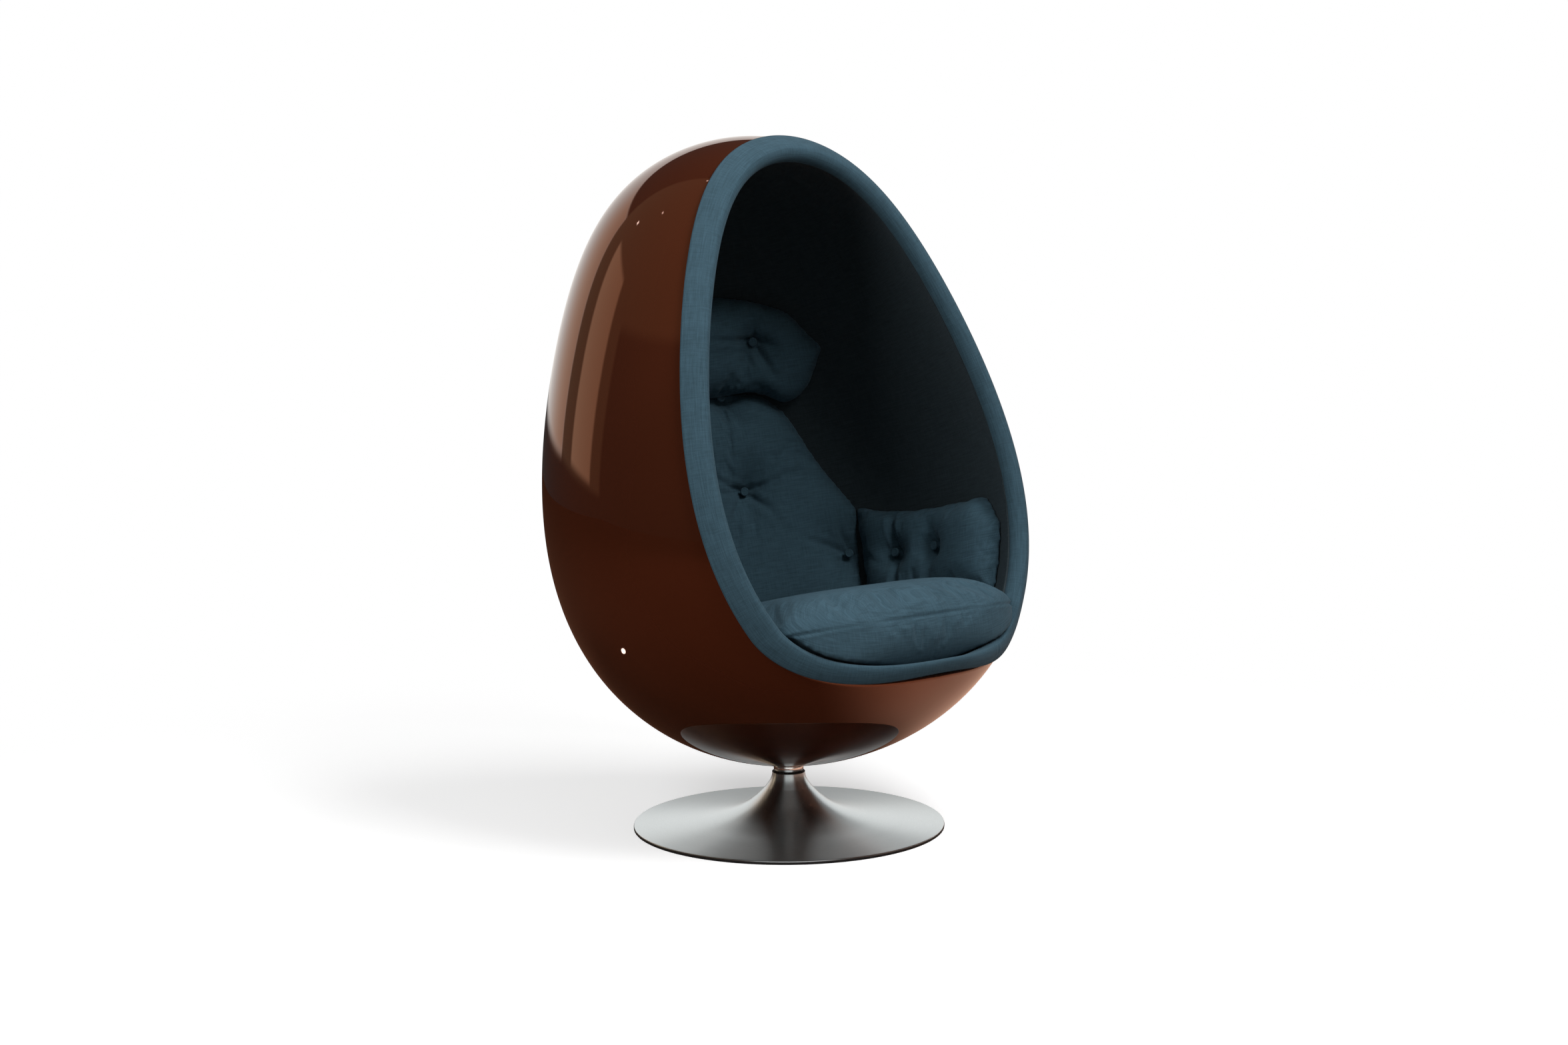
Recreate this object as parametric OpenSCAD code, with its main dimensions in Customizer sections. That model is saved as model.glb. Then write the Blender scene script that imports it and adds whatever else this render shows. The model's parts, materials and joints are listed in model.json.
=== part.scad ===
// Pod chair: a leaning egg-shaped shell with padded lining and cushions, turning on a trumpet base.
// Millimetres, +Z up, the chair faces -Y, origin on the floor below the swivel axis.
// The shell and everything in it are drawn in the egg's own axes, then leaned back and lifted.

/* [Pod shell] */
// Half the length of the egg along its own axis
egg_half = 568; // [500:1:620]
// Radius of the egg at the middle of its length
egg_radius = 425; // [390:1:460]
// Thickness of the glass-fibre shell
shell_wall = 6; // [4:0.5:10]
// Angle that the egg leans back
pod_lean = 15; // [8:0.5:18]
// How far the middle of the egg lies behind the swivel axis
pod_setback = 25; // [10:1:40]

/* [Opening] */
// Distance of the opening's edge in front of the egg's axis, at mid height
opening_front = 200; // [180:1:230]
// Angle between the opening and the egg's axis
opening_tilt = 2.9; // [0:0.1:5]
// How far the edge bows forward between its ends
opening_bow = 7; // [0:0.5:14]
// Height of the lower lip above the bottom end of the egg
lip_rise = 117; // [98:1:138]
// Height of the rounded corner between the side edge and the lip
fillet_rise = 111; // [80:1:130]
// How far the rounded corner runs forward to the lip
fillet_run = 85; // [70:1:95]

/* [Lining and rim] */
// Thickness of the foam glued inside the shell
foam_thick = 24; // [15:0.5:32]
// Thickness of the lining fabric
lining_thick = 2; // [1:0.5:4]
// How far the rim roll stands outside the shell
roll_proud = 8; // [2:0.5:10]
// Distance of the roll's crest inside the shell's outer face
roll_crest = 5; // [0:0.5:12]
// How far the rim roll stands forward of the shell's edge
roll_forward = 34; // [20:0.5:42]

/* [Cushions] */
// Crown height of the seat cushion above its edge seam
seat_crown = 70; // [50:1:75]
// Width of the seat cushion between the rim's two sides
seat_front_width = 514; // [460:1:520]
// Distance of the seat cushion's front from the egg's axis
seat_front_reach = 304; // [280:1:312]
// Crown thickness of the back cushion
back_thick = 74; // [50:1:85]
// Crown thickness of the head cushion
head_thick = 72; // [50:1:80]
// Crown thickness of the arm cushions
arm_thick = 60; // [40:1:66]
// Diameter of the covered buttons
button_d = 18; // [14:0.5:26]
// Depth of the dimple that a button pulls into a cushion
tuft_depth = 32; // [10:1:36]

/* [Base] */
// Diameter of the trumpet base
base_d = 564; // [480:1:640]
// Height of the trumpet base
base_h = 98; // [90:1:120]
// Diameter of the trumpet's neck
neck_d = 59; // [56:0.5:70]
// Thickness of the spun steel sheet
sheet_thick = 2; // [1.5:0.1:3]
// Height of the rubber edge ring under the base
edge_ring_h = 4; // [3:0.5:6]
// Thickness of the steel ballast plate
plate_thick = 5; // [4:0.5:6]

/* [Swivel] */
// Diameter of the swivel spindle
spindle_d = 25; // [20:0.5:28]
// Outer diameter of the column tube
column_d = 44; // [42:0.5:46]
// Wall of the column tube
column_wall = 3.5; // [3:0.25:4.5]
// Diameter of the polished collar under the pod
collar_d = 54; // [50:0.5:58]
// Height between the base's neck and the underside of the pod
collar_h = 20; // [16:0.5:30]
// Diameter of the bearing balls
ball_d = 5; // [4:0.25:6]
// Number of bearing balls
ball_count = 14; // [8:1:16]

/* [Hidden] */

// Clearances and small sizes
fit_gap = 0.05;
soft_gap = 0.6;
bed_gap = 0.3;
overrun = 1;
far = 2 * egg_half;
run_gap = 0.5;
round_fn = 96;
small_fn = 32;

// Colours
brown = [0.26, 0.12, 0.07];
blue = [0.24, 0.34, 0.40];
dark_blue = [0.13, 0.19, 0.23];
steel = [0.66, 0.65, 0.63];
bright = [0.82, 0.82, 0.82];
iron = [0.25, 0.25, 0.26];
black = [0.05, 0.05, 0.05];
bronze = [0.70, 0.52, 0.28];
ply = [0.76, 0.62, 0.42];
pale_foam = [0.85, 0.80, 0.66];

// The egg's profile: an ellipse made fuller below and narrower above by a polynomial in its height share
taper_shares = [1, -0.212, 0.065, 0.128, 0.070];
function poly(c, s, i = 0) = i == len(c) ? 0 : c[i] + s * poly(c, s, i + 1);
function egg_share(s) = abs(s) >= 1 ? 0 : sqrt(1 - s * s) * poly(taper_shares, s);
// Radius at height z of the egg drawn in by off
function egg_r(z, off = 0) = (egg_radius - off) * egg_share(z / (egg_half - off));
// Slope of that radius against the height
slope_step = egg_half / 1000;
function egg_slope(z, off = 0) =
    (egg_r(z + slope_step, off) - egg_r(z - slope_step, off)) / (2 * slope_step);

egg_steps = 44;
function egg_line(off) = [for (i = [0:egg_steps])
    let (z = -(egg_half - off) * cos(180 * i / egg_steps)) [egg_r(z, off), z]];

// How far the leaned egg reaches below its middle, so that its underside meets the collar
egg_drop = -min([for (q = egg_line(0)) q[1] * cos(pod_lean) - q[0] * sin(pod_lean)]);
pod_z = base_h + collar_h + egg_drop;

module pod_place() { translate([0, pod_setback, pod_z]) rotate([-pod_lean, 0, 0]) children(); }

// The opening's edge seen from the side: a bowed line, then an elliptical corner down to the lip
opening_top_share = 0.914;
lip_drop = egg_half - lip_rise;
fillet_z = -lip_drop + fillet_rise;
bow_mid = (egg_half * opening_top_share + fillet_z) / 2;
bow_half = (egg_half * opening_top_share - fillet_z) / 2;
function line_y(z) =
    -(opening_front - z * tan(opening_tilt) + opening_bow * (1 - pow((z - bow_mid) / bow_half, 2)));
function corner_share(z) = min(1, (fillet_z - z) / fillet_rise);
function edge_y(z) = z >= fillet_z ? line_y(z)
    : line_y(fillet_z) - fillet_run * (1 - sqrt(1 - pow(corner_share(z), 2)));
edge_steps = 12;
corner_steps = 14;
function edge_line() = concat(
    [for (i = [0:edge_steps]) let (z = egg_half - (egg_half - fillet_z) * i / edge_steps) [line_y(z), z]],
    [for (i = [1:corner_steps]) let (a = 90 * i / corner_steps)
        [line_y(fillet_z) - fillet_run * (1 - cos(a)), fillet_z - fillet_rise * sin(a)]]);

// Everything in front of the opening's edge, as one block to cut away
module opening_cut() {
    rotate([90, 0, 90]) linear_extrude(height = far, center = true)
        polygon(concat(edge_line(), [[-far, -lip_drop], [-far, egg_half]]));
}

module egg_solid(off) {
    rotate_extrude($fn = round_fn) polygon(egg_line(off));
}

// A shell between two inward offsets of the egg
module egg_layer(outer, inner) {
    line_in = egg_line(inner);
    rotate_extrude($fn = round_fn)
        polygon(concat(egg_line(outer), [for (i = [len(line_in) - 1:-1:0]) line_in[i]]));
}

// Rim path: points where the edge's surface meets the egg, found along rays from the opening's middle
rim_steps = 104;
rim_mid_z = (egg_half * opening_top_share - lip_drop) / 2;
function rim_inside(a, d, off) =
    let (x = d * sin(a), z = rim_mid_z + d * cos(a), r = egg_r(z, off), e = edge_y(z))
    z > -lip_drop && x * x + e * e < r * r;
function rim_reach(a, off, lo, hi, n = 26) = n == 0 ? lo
    : let (m = (lo + hi) / 2)
        rim_inside(a, m, off) ? rim_reach(a, off, m, hi, n - 1) : rim_reach(a, off, lo, m, n - 1);
function rim_point(a, off = 0) =
    let (d = rim_reach(a, off, 0, far), z = rim_mid_z + d * cos(a)) [d * sin(a), edge_y(z), z];
function unit(v) = v / norm(v);
// Outward normal of the egg at a point
function egg_normal(p, off = 0) =
    let (r = max(norm([p[0], p[1]]), slope_step)) unit([p[0] / r, p[1] / r, -egg_slope(p[2], off)]);
// Forward normal of the surface that cuts the opening
function cut_normal(p) =
    let (h = slope_step, s = (edge_y(p[2] + h) - edge_y(p[2])) / h) unit([0, -1, s]);
rim = [for (i = [0:rim_steps - 1]) rim_point(360 * i / rim_steps)];

// Moves a point onto the surface that cuts the opening
corner_y = line_y(fillet_z) - fillet_run;
function on_cut(q) = q[2] >= fillet_z ? [q[0], line_y(q[2]), q[2]]
    : let (v = unit([(q[1] - corner_y) / fillet_run, (fillet_z - q[2]) / fillet_rise]))
        [q[0], corner_y + fillet_run * v[0], fillet_z - fillet_rise * v[1]];

// Section of the roll: from outside the shell it rises to a crest and turns over to the lining's inner face
roll_sides = 9;
least_lean = 0.6;
outer_round = 1.1;
inner_round = 1.3;
roll_in = shell_wall + foam_thick + lining_thick;
function roll_share(a) = let (e = a < 90 ? outer_round : inner_round)
    [a < 90 ? roll_crest - (roll_crest + roll_proud) * pow(cos(a), e)
        : roll_crest + (roll_in - roll_crest) * pow(-cos(a), e), pow(sin(a), e)];
function roll_ring(i) =
    let (p = rim[i],
         t = unit(rim[(i + 1) % rim_steps] - rim[(i + rim_steps - 1) % rim_steps]),
         n = egg_normal(p), c = cut_normal(p),
         d = unit(cross(t, c)), b0 = unit(cross(n, t)), b = b0 * c > 0 ? b0 : -b0,
         lean = max(-(n * d), least_lean))
    [for (k = [0:roll_sides]) let (q = roll_share(180 * k / roll_sides))
        on_cut(p + d * (q[0] / lean)) + c * soft_gap + b * (roll_forward - soft_gap) * q[1]];

// A closed skin over rings of equal length, joined end to end
module ring_loop(rings) {
    n = len(rings);
    m = len(rings[0]);
    points = [for (r = rings) each r];
    faces = [for (i = [0:n - 1], k = [0:m - 1]) let (
        a = i * m + k, b = i * m + (k + 1) % m, c = ((i + 1) % n) * m + (k + 1) % m, d = ((i + 1) % n) * m + k)
        each [[a, c, b], [a, d, c]]];
    polyhedron(points = points, faces = faces, convexity = 6);
}

// A cushion skin: a front grid and a back grid that share their outer edge.
// Each cell's diagonal points at the middle, so that no corner closes flat on itself.
module pillow(front, back) {
    n = len(front);
    m = len(front[0]);
    size = n * m;
    points = concat([for (r = front) each r], [for (r = back) each r]);
    rim_at = function (i, k) i == 0 || k == 0 || i == n - 1 || k == m - 1;
    at = function (i, k, side) i * m + k + (side == 1 && !rim_at(i, k) ? size : 0);
    faces = [for (side = [0, 1], i = [0:n - 2], k = [0:m - 2]) let (
        a = at(i, k, side), b = at(i + 1, k, side), c = at(i + 1, k + 1, side), d = at(i, k + 1, side),
        fan = (2 * i < n - 1) == (2 * k < m - 1) ? [[a, b, c], [a, c, d]] : [[a, b, d], [b, c, d]])
        each (side == 0 ? fan : [for (f = fan) [f[0], f[2], f[1]]])];
    polyhedron(points = points, faces = faces, convexity = 6);
}

// Pillow shares: 1 in the middle, falling to 0 at the edges, flatter with a higher power
function swell(s, t, power) = sqrt(max(0, (1 - pow(abs(s), power)) * (1 - pow(abs(t), power))));
// Steps from -1 to 1, drawn together towards both ends by a share
ease_share = 0.4;
function eased(i, n, e = ease_share) = -e * cos(180 * i / n) + (1 - e) * (2 * i / n - 1);
// Linear reading of a list of values at even steps over 0 to 1
function along(list, t) =
    let (q = min(max(t, 0), 1) * (len(list) - 1), i = min(floor(q), len(list) - 2))
    list[i] + (list[i + 1] - list[i]) * (q - i);
// Smooth dimple round a centre
function dimple(p, c, size) = let (d = norm(p - c) / size) exp(-d * d);

// Places on the wall: a turn round the egg's axis from the middle of the back, and a height share
wall_off = shell_wall + foam_thick + lining_thick + soft_gap;
function wall_point(turn, z, thick) =
    let (r = egg_r(z, wall_off), s = egg_slope(z, wall_off), n = sqrt(1 + s * s),
         rr = r - thick / n, zz = z + thick * s / n)
    [rr * sin(turn), rr * cos(turn), zz];

// Seat deck and the parts under it
deck_inset = 4;
deck_thick = 15;
deck_top = lip_drop + deck_inset;
deck_r = egg_r(-deck_top - deck_thick, shell_wall) - bed_gap;
batten_x = 130;
batten_w = 30;
screw_d = 5;
screw_length = 45;
short_screw = 11;
screw_head = 3;
deck_screw_y = 110;

// Seat cushion: its edge seam follows the wall behind and a rounded square in front
seam_rise = 101;
seat_seam = lip_drop - seam_rise;
seat_off = wall_off + soft_gap;
seat_r = egg_r(-seat_seam, seat_off);
seat_half = min(seat_front_width / 2, seat_r - soft_gap);
seat_switch = -sqrt(seat_r * seat_r - seat_half * seat_half);
seat_depth = deck_top - seat_seam - soft_gap;
seat_corner = 4;
top_power = 4;
under_power = 8;
seat_rows = 24;
seat_columns = 20;
function seat_width(y) = y >= seat_switch ? sqrt(max(0, seat_r * seat_r - y * y))
    : seat_half * pow(max(0, 1 - pow((seat_switch - y) / (seat_front_reach + seat_switch), seat_corner)),
        1 / seat_corner);
// Height at which the lined wall has a given radius, in the lower half of the egg
function bowl_z(r, lo = -egg_half + seat_off, hi = -seat_seam, n = 22) = n == 0 ? hi
    : let (m = (lo + hi) / 2) egg_r(m, seat_off) < r ? bowl_z(r, m, hi, n - 1) : bowl_z(r, lo, m, n - 1);
// In front the cushion rests on the roll: round humps over every point of the roll's right half
low_roll = [for (i = [0:rim_steps / 2]) if (rim[i][2] < -seat_seam / 2) each roll_ring(i)];
rest_round = 34;
rim_heights = [for (i = [0:rim_steps / 2]) let (p = rim_point(360 * i / rim_steps, seat_off))
    if (p[2] < -seat_seam / 2) [atan2(p[0], -p[1]), p[2]]];
function rest_z(p, r) = max(min(bowl_z(r), lookup(atan2(abs(p[0]), -p[1]), rim_heights)), -deck_top,
    max([for (q = low_roll) let (d = norm([q[0] - abs(p[0]), q[1] - p[1]]))
        q[2] + 3 * soft_gap - d * d / (2 * rest_round)]));
// Rows from the front to the back of the seat, with one where its edge leaves the wall
switch_step = (2 * seat_switch - seat_r + seat_front_reach) / (seat_r + seat_front_reach);
seat_steps = snapped([for (i = [0:seat_rows]) eased(i, seat_rows, 1)], [switch_step]);
function seat_point(i, k, side) =
    let (t = seat_steps[i], s = eased(k, seat_columns, 1),
         y = (seat_r - seat_front_reach) / 2 + t * (seat_r + seat_front_reach) / 2,
         x = s * seat_width(y), r = norm([x, y]),
         under = -seat_seam - seat_depth * swell(s, t, under_power),
         rest = y < line_y(0) ? rest_z([x, y], r) : max(bowl_z(r), -deck_top))
    [x, y, side == 0 ? -seat_seam + seat_crown * swell(s, t, top_power) : min(max(under, rest), -seat_seam)];

// Cushions on the wall: each is a sheet of places (u across, v up) with a thickness
foot_rise = 32;
cushion_foot = seat_seam - foot_rise;
tuft_size = 34;
// Turn that a length along the wall makes round the egg's axis
function wall_turn(run) = run / (egg_radius - wall_off) * 180 / PI;
edge_power = 4;
back_columns = 24;
back_rows = 20;
head_columns = 22;
head_rows = 12;
arm_columns = 16;
arm_rows = 12;

crease_z = 170;
shoulder_drop = 62;
back_turns = [60.2, 60.2, 60, 60, 60.6, 61.6, 58.5, 55, 51.5, 47.5, 42];
shoulder_shares = [0, 0, 0, 0, 0, 0.02, 0.2, 0.62, 1];
back_tufts = [[0.56, 0.975], [0.5, 0.61], [0.95, 0.3]];
function back_z(u, v) =
    -cushion_foot + v * (cushion_foot + crease_z - shoulder_drop * along(shoulder_shares, abs(u)));
function back_wall(u, v, thick) = wall_point(u * along(back_turns, v), back_z(u, v), thick);

head_reach = 438.3;
head_height = 190;
head_top = crease_z + head_height;
head_ear_drop = 124;
crease_gap = 1.2;
head_top_shares = [0, 0, 0.016, 0.05, 0.11, 0.21, 0.38, 0.62, 0.93];
head_low_shares = [0, 0, 0, 0, 0.14, 0.62, 0.6, 0.08, -0.75];
head_tufts = [[0.605, 0.575]];
function head_z(u, v) =
    let (low = crease_z + crease_gap - (shoulder_drop - crease_gap) * along(head_low_shares, abs(u)),
         high = head_top - head_ear_drop * along(head_top_shares, abs(u)))
    low + v * (high - low);
function head_wall(u, v, thick) = wall_point(u * wall_turn(head_reach), head_z(u, v), thick);

arm_gap = 9.6;
arm_room = 21.2;
arm_level = -210;
arm_back_turn = back_turns[1] + wall_turn(arm_gap);
arm_front_turn = acos(line_y(arm_level) / egg_r(arm_level)) - wall_turn(arm_room);
arm_top = 92;
arm_drop = 100;
arm_top_shares = [0, 0.17, 0.3, 0.36, 0.4, 0.43, 0.46, 0.5, 1];
arm_tufts = [[-0.53, 0.56], [0.03, 0.56]];
function arm_z(u, v) =
    let (high = -arm_top - arm_drop * along(arm_top_shares, (u + 1) / 2))
    -cushion_foot + v * (high + cushion_foot);
function arm_wall(u, v, thick) =
    wall_point(arm_back_turn + (u + 1) / 2 * (arm_front_turn - arm_back_turn), arm_z(u, v), thick);

// Thickness at a place: a pillow swell, less the dimples of the tufts on both sides of the middle
least_thick = 7;
function pulled(base, p, tufts) =
    base - tuft_depth * max([for (q = tufts) dimple(p, q, tuft_size)]);
function both(list) = concat(list, [for (q = list) [-q[0], q[1]]]);
back_seats = [for (q = both(back_tufts)) back_wall(q[0], q[1], 0)];
head_seats = [for (q = both(head_tufts)) head_wall(q[0], q[1], 0)];
arm_seats = [for (q = arm_tufts) arm_wall(q[0], q[1], 0)];
function swollen(thick, u, v, p, seats) =
    let (full = thick * swell(u, 2 * v - 1, edge_power))
    max(pulled(full, p, seats), min(full, least_thick));
function back_t(u, v) = swollen(back_thick, u, v, back_wall(u, v, 0), back_seats);
function head_t(u, v) = swollen(head_thick, u, v, head_wall(u, v, 0), head_seats);
function arm_t(u, v) = swollen(arm_thick, u, v, arm_wall(u, v, 0), arm_seats);

// Moves the nearest value of an even list onto each wanted value
function snapped(list, wanted) = [for (i = [0:len(list) - 1])
    let (x = list[i], low = (x + list[max(i - 1, 0)]) / 2, high = (x + list[min(i + 1, len(list) - 1)]) / 2,
         hit = [for (w = wanted) if (w > low && w <= high) w])
    len(hit) > 0 ? hit[0] : x];

// The front grid and the back grid of a wall cushion, with lines through its tufts
module wall_pillow(place, thick, tufts, columns, rows) {
    us = snapped([for (k = [0:columns]) eased(k, columns)], [for (q = tufts) q[0]]);
    vs = snapped([for (i = [0:rows]) (1 + eased(i, rows)) / 2], [for (q = tufts) q[1]]);
    pillow([for (v = vs) [for (u = us) place(u, v, thick(u, v))]],
        [for (v = vs) [for (u = us) place(u, v, 0)]]);
}

// Covered button: a low dome on a short cone that sits in its dimple
button_h = 5;
button_foot = 8.5;
button_shares = [[0.12, 0, 0], [0.5, 1, 0], [0.5, 1, 0.25], [0.36, 1, 0.8], [0, 1, 1]];
module button() {
    rotate_extrude($fn = small_fn)
        polygon(concat([[0, 0]], [for (q = button_shares) [button_d * q[0], button_foot * q[1] + button_h * q[2]]]));
}
// Turns +Z to a direction
module aim(v) {
    rotate([0, acos(v[2]), atan2(v[1], v[0])]) children();
}
// It lies square to the cushion's skin around the tuft
near_share = 0.03;
module button_at(place, thick, q) {
    skin = function (u, v) place(u, v, thick(u, v));
    across = skin(q[0] + near_share, q[1]) - skin(q[0] - near_share, q[1]);
    up = skin(q[0], q[1] + near_share) - skin(q[0], q[1] - near_share);
    out = unit(cross(across, up));
    translate(skin(q[0], q[1]) + 3 * soft_gap * out) aim(out) button();
}

// Base: spun steel trumpet, drawn as a smooth curve through shares of its radius and height
base_r = base_d / 2;
neck_r = neck_d / 2;
rim_top = edge_ring_h + sheet_thick;
trumpet_shares = [[0, 1], [0.004, 0.935], [0.012, 0.87], [0.024, 0.81], [0.038, 0.755], [0.0535, 0.7],
    [0.089, 0.6], [0.129, 0.5], [0.184, 0.386], [0.26, 0.277], [0.36, 0.185], [0.5, 0.108], [0.675, 0.06],
    [0.835, 0.027], [1, 0]];
function bend(a, b, c, d, t) = 0.5 * (2 * b + (c - a) * t + (2 * a - 5 * b + 4 * c - d) * t * t
    + (3 * b - a - 3 * c + d) * t * t * t);
curve_parts = 3;
trumpet_curve = [for (i = [0:len(trumpet_shares) - 2], k = [0:curve_parts - 1])
        let (n = len(trumpet_shares) - 1, q = trumpet_shares)
        bend(q[max(i - 1, 0)], q[i], q[i + 1], q[min(i + 2, n)], k / curve_parts)];
trumpet_outer = concat(
    [for (q = trumpet_curve) [neck_r + (base_r - neck_r) * q[0], rim_top + (base_h - rim_top) * q[1]]],
    [[base_r, rim_top]]);
function side_of(list, i) =
    let (a = list[max(i - 1, 0)], b = list[min(i + 1, len(list) - 1)], d = unit(b - a)) [d[1], -d[0]];
trumpet_inner = [for (i = [0:len(trumpet_outer) - 1]) trumpet_outer[i] + sheet_thick * side_of(trumpet_outer, i)];
lip_width = 4;
edge_flat = 6;

// Swivel stack, worked out downwards from the neck
gasket_h = 1.4;
turn_gap = 0.3;
boss_drop = 4;
boss_r = column_d / 2 - run_gap;
lip_r = boss_r + 3 * run_gap;
gasket_proud = 0.5;
spindle_r = spindle_d / 2;
column_r = column_d / 2;
column_in = column_r - column_wall;
ball_r = ball_d / 2;
race_h = 3.5;
groove_share = 0.4;
groove = groove_share * ball_r;
race_in = spindle_r + 3 * run_gap;
ball_path = (race_in + column_r) / 2;
upper_race_z = base_h - boss_drop - race_h;
ball_z = upper_race_z - fit_gap - ball_r + groove;
lower_race_z = ball_z - ball_r + groove - race_h;
cage_h = 1.6;
cage_wall = 1.2;
column_top = lower_race_z;
plate_drop = 2.5;
plate_z = edge_ring_h - plate_drop;
plate_top = plate_z + plate_thick;
plate_r = lookup(plate_top + turn_gap, [for (q = trumpet_inner) [q[1], q[0]]]);
flange_r = 60;
flange_h = 6;
flange_bolt_r = 45;
bolt_d = 8;
bolt_head_d = 13;
bolt_head_h = 5.3;
bush_length = 21;
bush_inset = 1;
washer_h = 3;
bush_lift = 12;
lower_bush_z = plate_top + flange_h + bush_lift;
spindle_end = lower_bush_z - washer_h;
washer_r = column_in - 4 * run_gap;
access_r = 20;
end_bolt_length = 16;

// Parts that carry the pod on the spindle
under_z = base_h + collar_h;
pad_r = 110;
plate_screw_r = 82;
tip_cover = 6.2;
// Height of the leaned shell's inner face above a place on the floor
function in_shell(x, y, z) =
    let (b = y - pod_setback, h = z - pod_z, up = b * sin(pod_lean) + h * cos(pod_lean))
    norm([x, b * cos(pod_lean) - h * sin(pod_lean)]) < egg_r(up, shell_wall);
function inner_height(x, y, lo = under_z, hi = pod_z, n = 26) = n == 0 ? hi
    : let (m = (lo + hi) / 2)
        in_shell(x, y, m) ? inner_height(x, y, lo, m, n - 1) : inner_height(x, y, m, hi, n - 1);
// The pad is thick enough for the plate's screws to end inside it all round
screw_reach = plate_screw_r + screw_d / 2;
pad_top = max([for (a = [0:30:330]) inner_height(screw_reach * cos(a), screw_reach * sin(a))])
    + short_screw + tip_cover;
mount_plate_r = 100;
mount_plate_h = 6;
small_bolt_d = 6;
small_head_d = 10;
small_head_h = 4;
mount_bolt_r = (spindle_r + collar_d / 2) / 2;
bolt_grip = 13;
mount_bolt_length = pad_top + mount_plate_h - under_z + bolt_grip;
hole_gap = 0.2;

module rod(d, z0, z1, fn = small_fn) { translate([0, 0, z0]) cylinder(d = d, h = z1 - z0, $fn = fn); }
module tube(r_out, r_in, z0, z1, fn = round_fn) {
    difference() {
        translate([0, 0, z0]) cylinder(r = r_out, h = z1 - z0, $fn = fn);
        translate([0, 0, z0 - overrun]) cylinder(r = r_in, h = z1 - z0 + 2 * overrun, $fn = fn);
    }
}
module ring_of(count, r, start = 0) {
    for (i = [0:count - 1]) rotate([0, 0, start + 360 * i / count]) translate([r, 0, 0]) children();
}

module base_trumpet() {
    n = len(trumpet_outer);
    inner = [for (i = [n - 1:-1:1]) if (trumpet_inner[i][1] > edge_ring_h && trumpet_inner[i][0] < base_r - edge_flat)
        trumpet_inner[i]];
    color(steel) rotate_extrude($fn = round_fn)
        polygon(concat(trumpet_outer, [[base_r, edge_ring_h], [base_r - edge_flat, edge_ring_h]], inner,
            [[neck_r - sheet_thick, base_h - sheet_thick], [lip_r, base_h - sheet_thick], [lip_r, base_h]]));
}
module base_edge_ring() {
    color(black) tube(base_r + gasket_proud, base_r - edge_flat, 0, edge_ring_h);
}
module ballast_plate() {
    color(iron) difference() {
        tube(plate_r, access_r, plate_z, plate_top);
        ring_of(4, flange_bolt_r, 45) rod(bolt_d + 2 * hole_gap, plate_z - overrun, plate_top + overrun);
    }
}
module column_flange() {
    color(iron) difference() {
        tube(flange_r, column_r, plate_top, plate_top + flange_h);
        ring_of(4, flange_bolt_r, 45) rod(bolt_d + 2 * hole_gap, plate_top - overrun, plate_top + flange_h + overrun);
    }
}
module column_tube() {
    color(iron) tube(column_r, column_in, plate_top, column_top);
}
module flange_bolts() {
    top = plate_top + flange_h;
    color(bright) ring_of(4, flange_bolt_r, 45) {
        rod(bolt_d, plate_z, top);
        rod(bolt_head_d, top, top + bolt_head_h, 6);
    }
}
module neck_gasket() {
    color(black) tube(neck_r + gasket_proud, lip_r, base_h, base_h + gasket_h);
}
module upper_bush() {
    color(bronze) tube(column_in, spindle_r + fit_gap, column_top - bush_inset - bush_length, column_top - bush_inset);
}
module lower_bush() {
    color(bronze) tube(column_in, spindle_r + fit_gap, lower_bush_z, lower_bush_z + bush_length);
}
module race_groove() {
    translate([0, 0, ball_z]) rotate_extrude($fn = round_fn)
        translate([ball_path, 0]) circle(r = ball_r + fit_gap, $fn = small_fn);
}
module bearing_lower_race() {
    color(bright) difference() {
        tube(column_r, race_in, lower_race_z, lower_race_z + race_h);
        race_groove();
    }
}
module bearing_upper_race() {
    color(bright) difference() {
        tube(column_r, race_in, upper_race_z, upper_race_z + race_h);
        race_groove();
    }
}
module bearing_balls() {
    color(bright) ring_of(ball_count, ball_path) translate([0, 0, ball_z]) sphere(r = ball_r, $fn = small_fn);
}
module bearing_cage() {
    color(bronze) difference() {
        tube(ball_path + ball_r + cage_wall, ball_path - ball_r - cage_wall, ball_z - cage_h / 2, ball_z + cage_h / 2);
        ring_of(ball_count, ball_path) rod(ball_d + 2 * fit_gap, ball_z - ball_d, ball_z + ball_d);
    }
}
module spindle() {
    color(bright) difference() {
        rod(spindle_d, spindle_end, pad_top + mount_plate_h, round_fn);
        rod(bolt_d, spindle_end - overrun, spindle_end + end_bolt_length);
    }
}
module spindle_washer() {
    color(bright) tube(washer_r, bolt_d / 2 + hole_gap, spindle_end - washer_h, spindle_end);
}
module spindle_bolt() {
    color(bright) {
        rod(bolt_d, spindle_end - washer_h, spindle_end + end_bolt_length);
        rod(bolt_head_d, spindle_end - washer_h - bolt_head_h, spindle_end - washer_h, 6);
    }
}
module mount_bolt_holes(gap) {
    ring_of(4, mount_bolt_r, 45) rod(small_bolt_d + 2 * gap, pad_top + mount_plate_h - mount_bolt_length, pad_top + far);
}
module stem_collar() {
    color(bright) difference() {
        union() {
            rod(collar_d, base_h + gasket_h + turn_gap, under_z + shell_wall, round_fn);
            rod(2 * boss_r, upper_race_z + race_h, base_h + collar_h, round_fn);
        }
        rod(spindle_d, 0, under_z + far, round_fn);
        mount_bolt_holes(0);
        pod_place() egg_solid(0);
    }
}
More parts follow.
